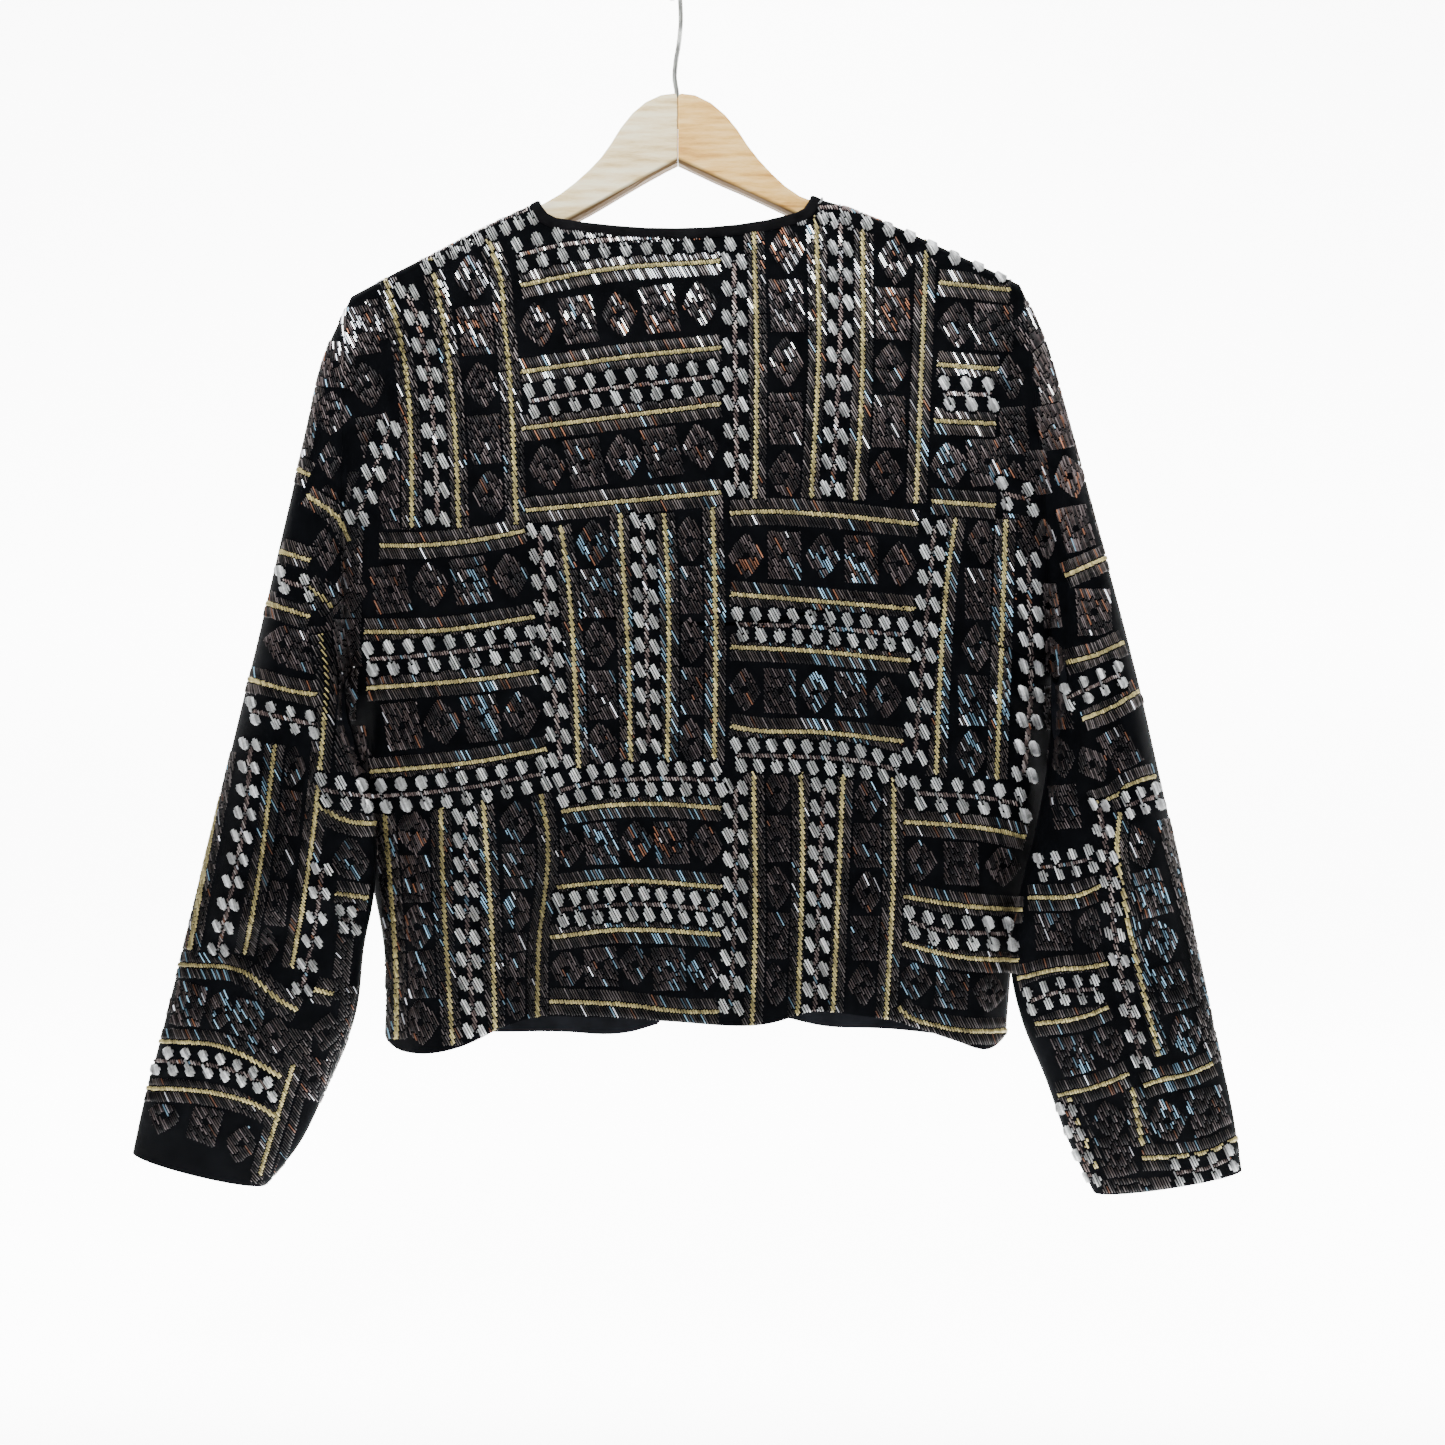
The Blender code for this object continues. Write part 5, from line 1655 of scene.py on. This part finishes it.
@dataclass
class Jacket:
    """The jacket: five beaded pieces, two linings and the neck's binding."""

    split: int = 4
    seed: int = 11

    def pieces(self) -> list[Cloth]:
        """The five beaded pieces of cloth."""
        rows, front = finer(BODY_ROWS, self.split), finer(FRONT_COLUMNS, self.split)
        length, girth = finer(even(22, 0.02), self.split), finer(even(22), self.split)
        return [
            Cloth("back", back_panel, finer(BACK_COLUMNS, self.split), rows, 0.5, 1, (520, 560)),
            Cloth("front_left", lambda a, u, i: front_panel(a, u, i, True), front, rows, 1.0, 1),
            Cloth("front_right", lambda a, u, i: front_panel(a, u, i, False), front, rows, 1.0, -1),
            Cloth("sleeve_left", lambda a, u, i: sleeve(a, u, i, SLEEVE_LEFT), girth, length, 0.5, -1),
            Cloth("sleeve_right", lambda a, u, i: sleeve(a, u, i, SLEEVE_RIGHT), girth, length, 0.5, 1),
        ]

    def build_linings(self, satin: bpy.types.Material) -> None:
        """The lining inside each front, near its hem."""
        deep = WALL + LINING_GAP
        for name, left_side in (("front_lining_left", True), ("front_lining_right", False)):
            lining = Cloth(
                name,
                lambda a, u, i, s=left_side: front_panel(a, u, i, s),
                finer(LINING_COLUMNS, self.split),
                finer(LINING_ROWS, self.split),
                insets=(deep, deep + LINING_WALL),
            )
            across, up = np.linspace(LINING_COLUMNS[0], 1, 60), np.linspace(0, LINING_ROWS[-1], 40)
            across, up = np.meshgrid(across, up)
            lining.points = np.stack(lining.place(across, up, np.full(across.shape, deep)), axis=-1)
            made = lining.build(satin, satin)
            run = np.linalg.norm(np.diff(lining.points, axis=1), axis=-1).sum(axis=1)
            down = np.linalg.norm(np.diff(lining.points, axis=0), axis=-1).sum(axis=0)
            size = (float(run.max()) * MM, float(down.max()) * MM)
            lining.area()
            LOG.info("%s: cut %.3f by %.3f m, %.4f square metres", name, *size, lining.area())

    def build_binding(self, tape: bpy.types.Material) -> None:
        """The tape round the neck, on edge above the panels' neck edges, with rounded rims."""
        middles, lower, normals = np.moveaxis(neck_edge(), 1, 0)
        normals = eased(normals)
        rises = np.cross(normals, np.gradient(middles, axis=0))
        rises *= np.sign(np.sum(rises * (middles - lower), axis=1))[:, None]
        rises = eased(rises / np.linalg.norm(rises, axis=1)[:, None])
        shares = np.linspace(0, 1, len(middles))

        def place(across: np.ndarray, up: np.ndarray, inner: np.ndarray) -> Points:
            """The tape's surface: shares round the neck and up the tape, and 0 outside to 1 inside."""
            middle, normal, rise = (
                np.stack([np.interp(across, shares, rows[:, k]) for k in range(3)], axis=-1)
                for rows in (middles, normals, rises)
            )
            round_off = np.sqrt(np.clip(1 - np.abs(2 * up - 1) ** 3, 0.05, 1))
            out = (BINDING_WALL * (0.5 - inner)) * round_off + BINDING_PROUD
            high = BINDING_GAP + (BINDING_WIDTH + BINDING_OVER) * up
            point = middle + rise * high[..., None] + normal * out[..., None]
            return tuple(np.moveaxis(point, -1, 0))

        columns = finer([float(s) for s in shares], self.split)
        binding = Cloth("neck_binding", place, columns, even(8), insets=(0.0, 1.0))
        made = binding.build(tape, tape)

    def build(self) -> None:
        """Builds and dresses every piece."""
        ground = ClothFinish("black_ground", (0.0012, 0.0014, 0.0019), (0.003, 0.0034, 0.0044)).build()
        satin = ClothFinish(
            "black_satin", (0.003, 0.0034, 0.0045), (0.008, 0.009, 0.012),
            roughness=0.6, weave=2600, raised=0.00004, shine=0.03,
        ).build()
        tape = ClothFinish(
            "black_tape", (0.003, 0.003, 0.0035), (0.008, 0.008, 0.009),
            roughness=0.75, weave=900, raised=0.0002,
        ).build()
        finishes = {
            Zone.BAND: BeadFinish("taupe_beads", 0.32, 0.25, 0.12).build(),
            Zone.GOLD: BeadFinish("gold_beads", 0.3, 0.5, 0.1).build(),
            Zone.MOTIF: BeadFinish("motif_beads", 0.3, 0.25, 0.15).build(),
            Zone.STEM: BeadFinish("stem_beads", 0.35, 0.3, 0.1).build(),
            Zone.OVAL: BeadFinish("silver_beads", 0.32, 0.3, 0.1).build(),
        }
        chart = Chart()
        chart.paint()
        self.build_linings(satin)
        self.build_binding(tape)
        for number, cloth in enumerate(self.pieces()):
            cloth.lay_flat()
            shell = cloth.build(ground, satin)
            beads = Beadwork(cloth, chart, self.seed + number).build(finishes)
            cloth.cut_size()
            cloth.area()
            size, area = cloth.cut_size(), cloth.area()
            LOG.info("%s: cut %.3f by %.3f m, %.4f square metres", cloth.name, *size, area)


# The left half's maple grain is painted paler and whiter, for the sheen of light on its varnish; the right
# half's keeps the wood's warm tone.
MAPLE_WITH_PAINTED_SHEEN = several((196, 164, 108), (230, 210, 160), (244, 234, 200))
WARM_MAPLE = several((184, 130, 58), (222, 174, 92), (238, 200, 130))


@dataclass
class Hanger:
    """The hanger's two wooden halves and its wire hook, carried over from the CAD."""

    left: WoodFinish = WoodFinish("maple_painted_sheen", *MAPLE_WITH_PAINTED_SHEEN, 0.45, 0.55)
    right: WoodFinish = WoodFinish("warm_maple", *WARM_MAPLE, -0.45, 0.46)

    def dress(self) -> None:
        """Gives the carried-over pieces their materials."""
        nodes = frame["nodes"]
        finishes = {"hanger_left": self.left, "hanger_right": self.right, "hook": SteelFinish()}
        for name, finish in finishes.items():
            piece = nodes[name]
            made = finish.build()
            if piece.material_slots:
                piece.material_slots[0].material = made
            else:
                piece.data.materials.append(made)


@dataclass
class Studio:
    """The camera, the pale paper and the soft lights."""

    camera_at: tuple[float, float, float] = (CAMERA_X * MM, -CAMERA_AWAY * MM, CAMERA_Z * MM)
    lens: float = 27.26
    floor: float = -0.98

    def lamp(self, name: str, at: tuple[float, float, float], aim: tuple[float, float, float], size: float,
             power: float, colour: tuple[float, float, float] = (1, 1, 1)) -> None:
        """A soft square light that faces a point."""
        bpy.ops.object.light_add(type="AREA", location=at)
        lamp = bpy.context.object
        lamp.name = name
        lamp.data.size = size
        lamp.data.energy = power
        lamp.data.color = colour
        lamp.rotation_euler = (Vector(aim) - Vector(at)).to_track_quat("-Z", "Y").to_euler()

    def build(self) -> None:
        """Places the camera, the lights, and the floor that sweeps up into a backdrop."""
        bpy.ops.object.camera_add(location=self.camera_at, rotation=(pi / 2, 0, 0))
        camera = bpy.context.object
        camera.data.lens = self.lens
        camera.data.sensor_width = 36
        camera.data.clip_start = 0.01
        bpy.context.scene.camera = camera
        world = bpy.data.worlds.new("studio")
        bpy.context.scene.world = world
        world.use_nodes = True
        world.node_tree.nodes["Background"].inputs["Color"].default_value = (1, 1, 1, 1)
        world.node_tree.nodes["Background"].inputs["Strength"].default_value = 0.14
        bpy.ops.mesh.primitive_grid_add(x_subdivisions=2, y_subdivisions=48, size=1)
        paper = bpy.context.object
        paper.name = "paper_sweep"
        for vertex in paper.data.vertices:
            share = vertex.co.y + 0.5
            run = np.interp(share, [0, 0.4, 0.6, 1], [-4.0, 0.7, 1.3, 1.3])
            rise = np.interp(share, [0, 0.4, 0.6, 1], [0, 0, 0.6, 4.2])
            turn = (share - 0.4) / 0.2
            if 0 < turn < 1:
                run, rise = 0.7 + 0.6 * sin(turn * pi / 2), 0.6 * (1 - cos(turn * pi / 2))
            vertex.co = (vertex.co.x * 10, run, self.floor + rise)
        paper.data.materials.append(PaperFinish().build())
        bpy.ops.object.shade_smooth()
        middle = (0.0, 0.0, -0.45)
        self.lamp("key", (-0.25, -0.72, 0.48), (0.0, 0.0, -0.25), 0.45, 17)
        self.lamp("fill", (1.3, -1.2, -0.1), middle, 1.0, 3, (0.93, 0.96, 1.0))
        self.lamp("top", (0.1, -0.35, 0.9), (0, -0.05, -0.25), 0.5, 9)
        self.lamp("window", (-0.2, -1.4, -0.9), (0, 0, -0.6), 0.5, 0.8, (0.62, 0.82, 1.0))
        self.lamp("backdrop", (0.0, 0.6, 0.8), (0, 1.3, -0.3), 1.2, 14)


def main() -> None:
    """Builds the studio, the hanger and the jacket."""
    logging.basicConfig(level=logging.INFO, format="%(message)s")
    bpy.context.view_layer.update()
    Studio().build()
    Hanger().dress()
    Jacket().build()


if __name__ == "__main__":
    main()
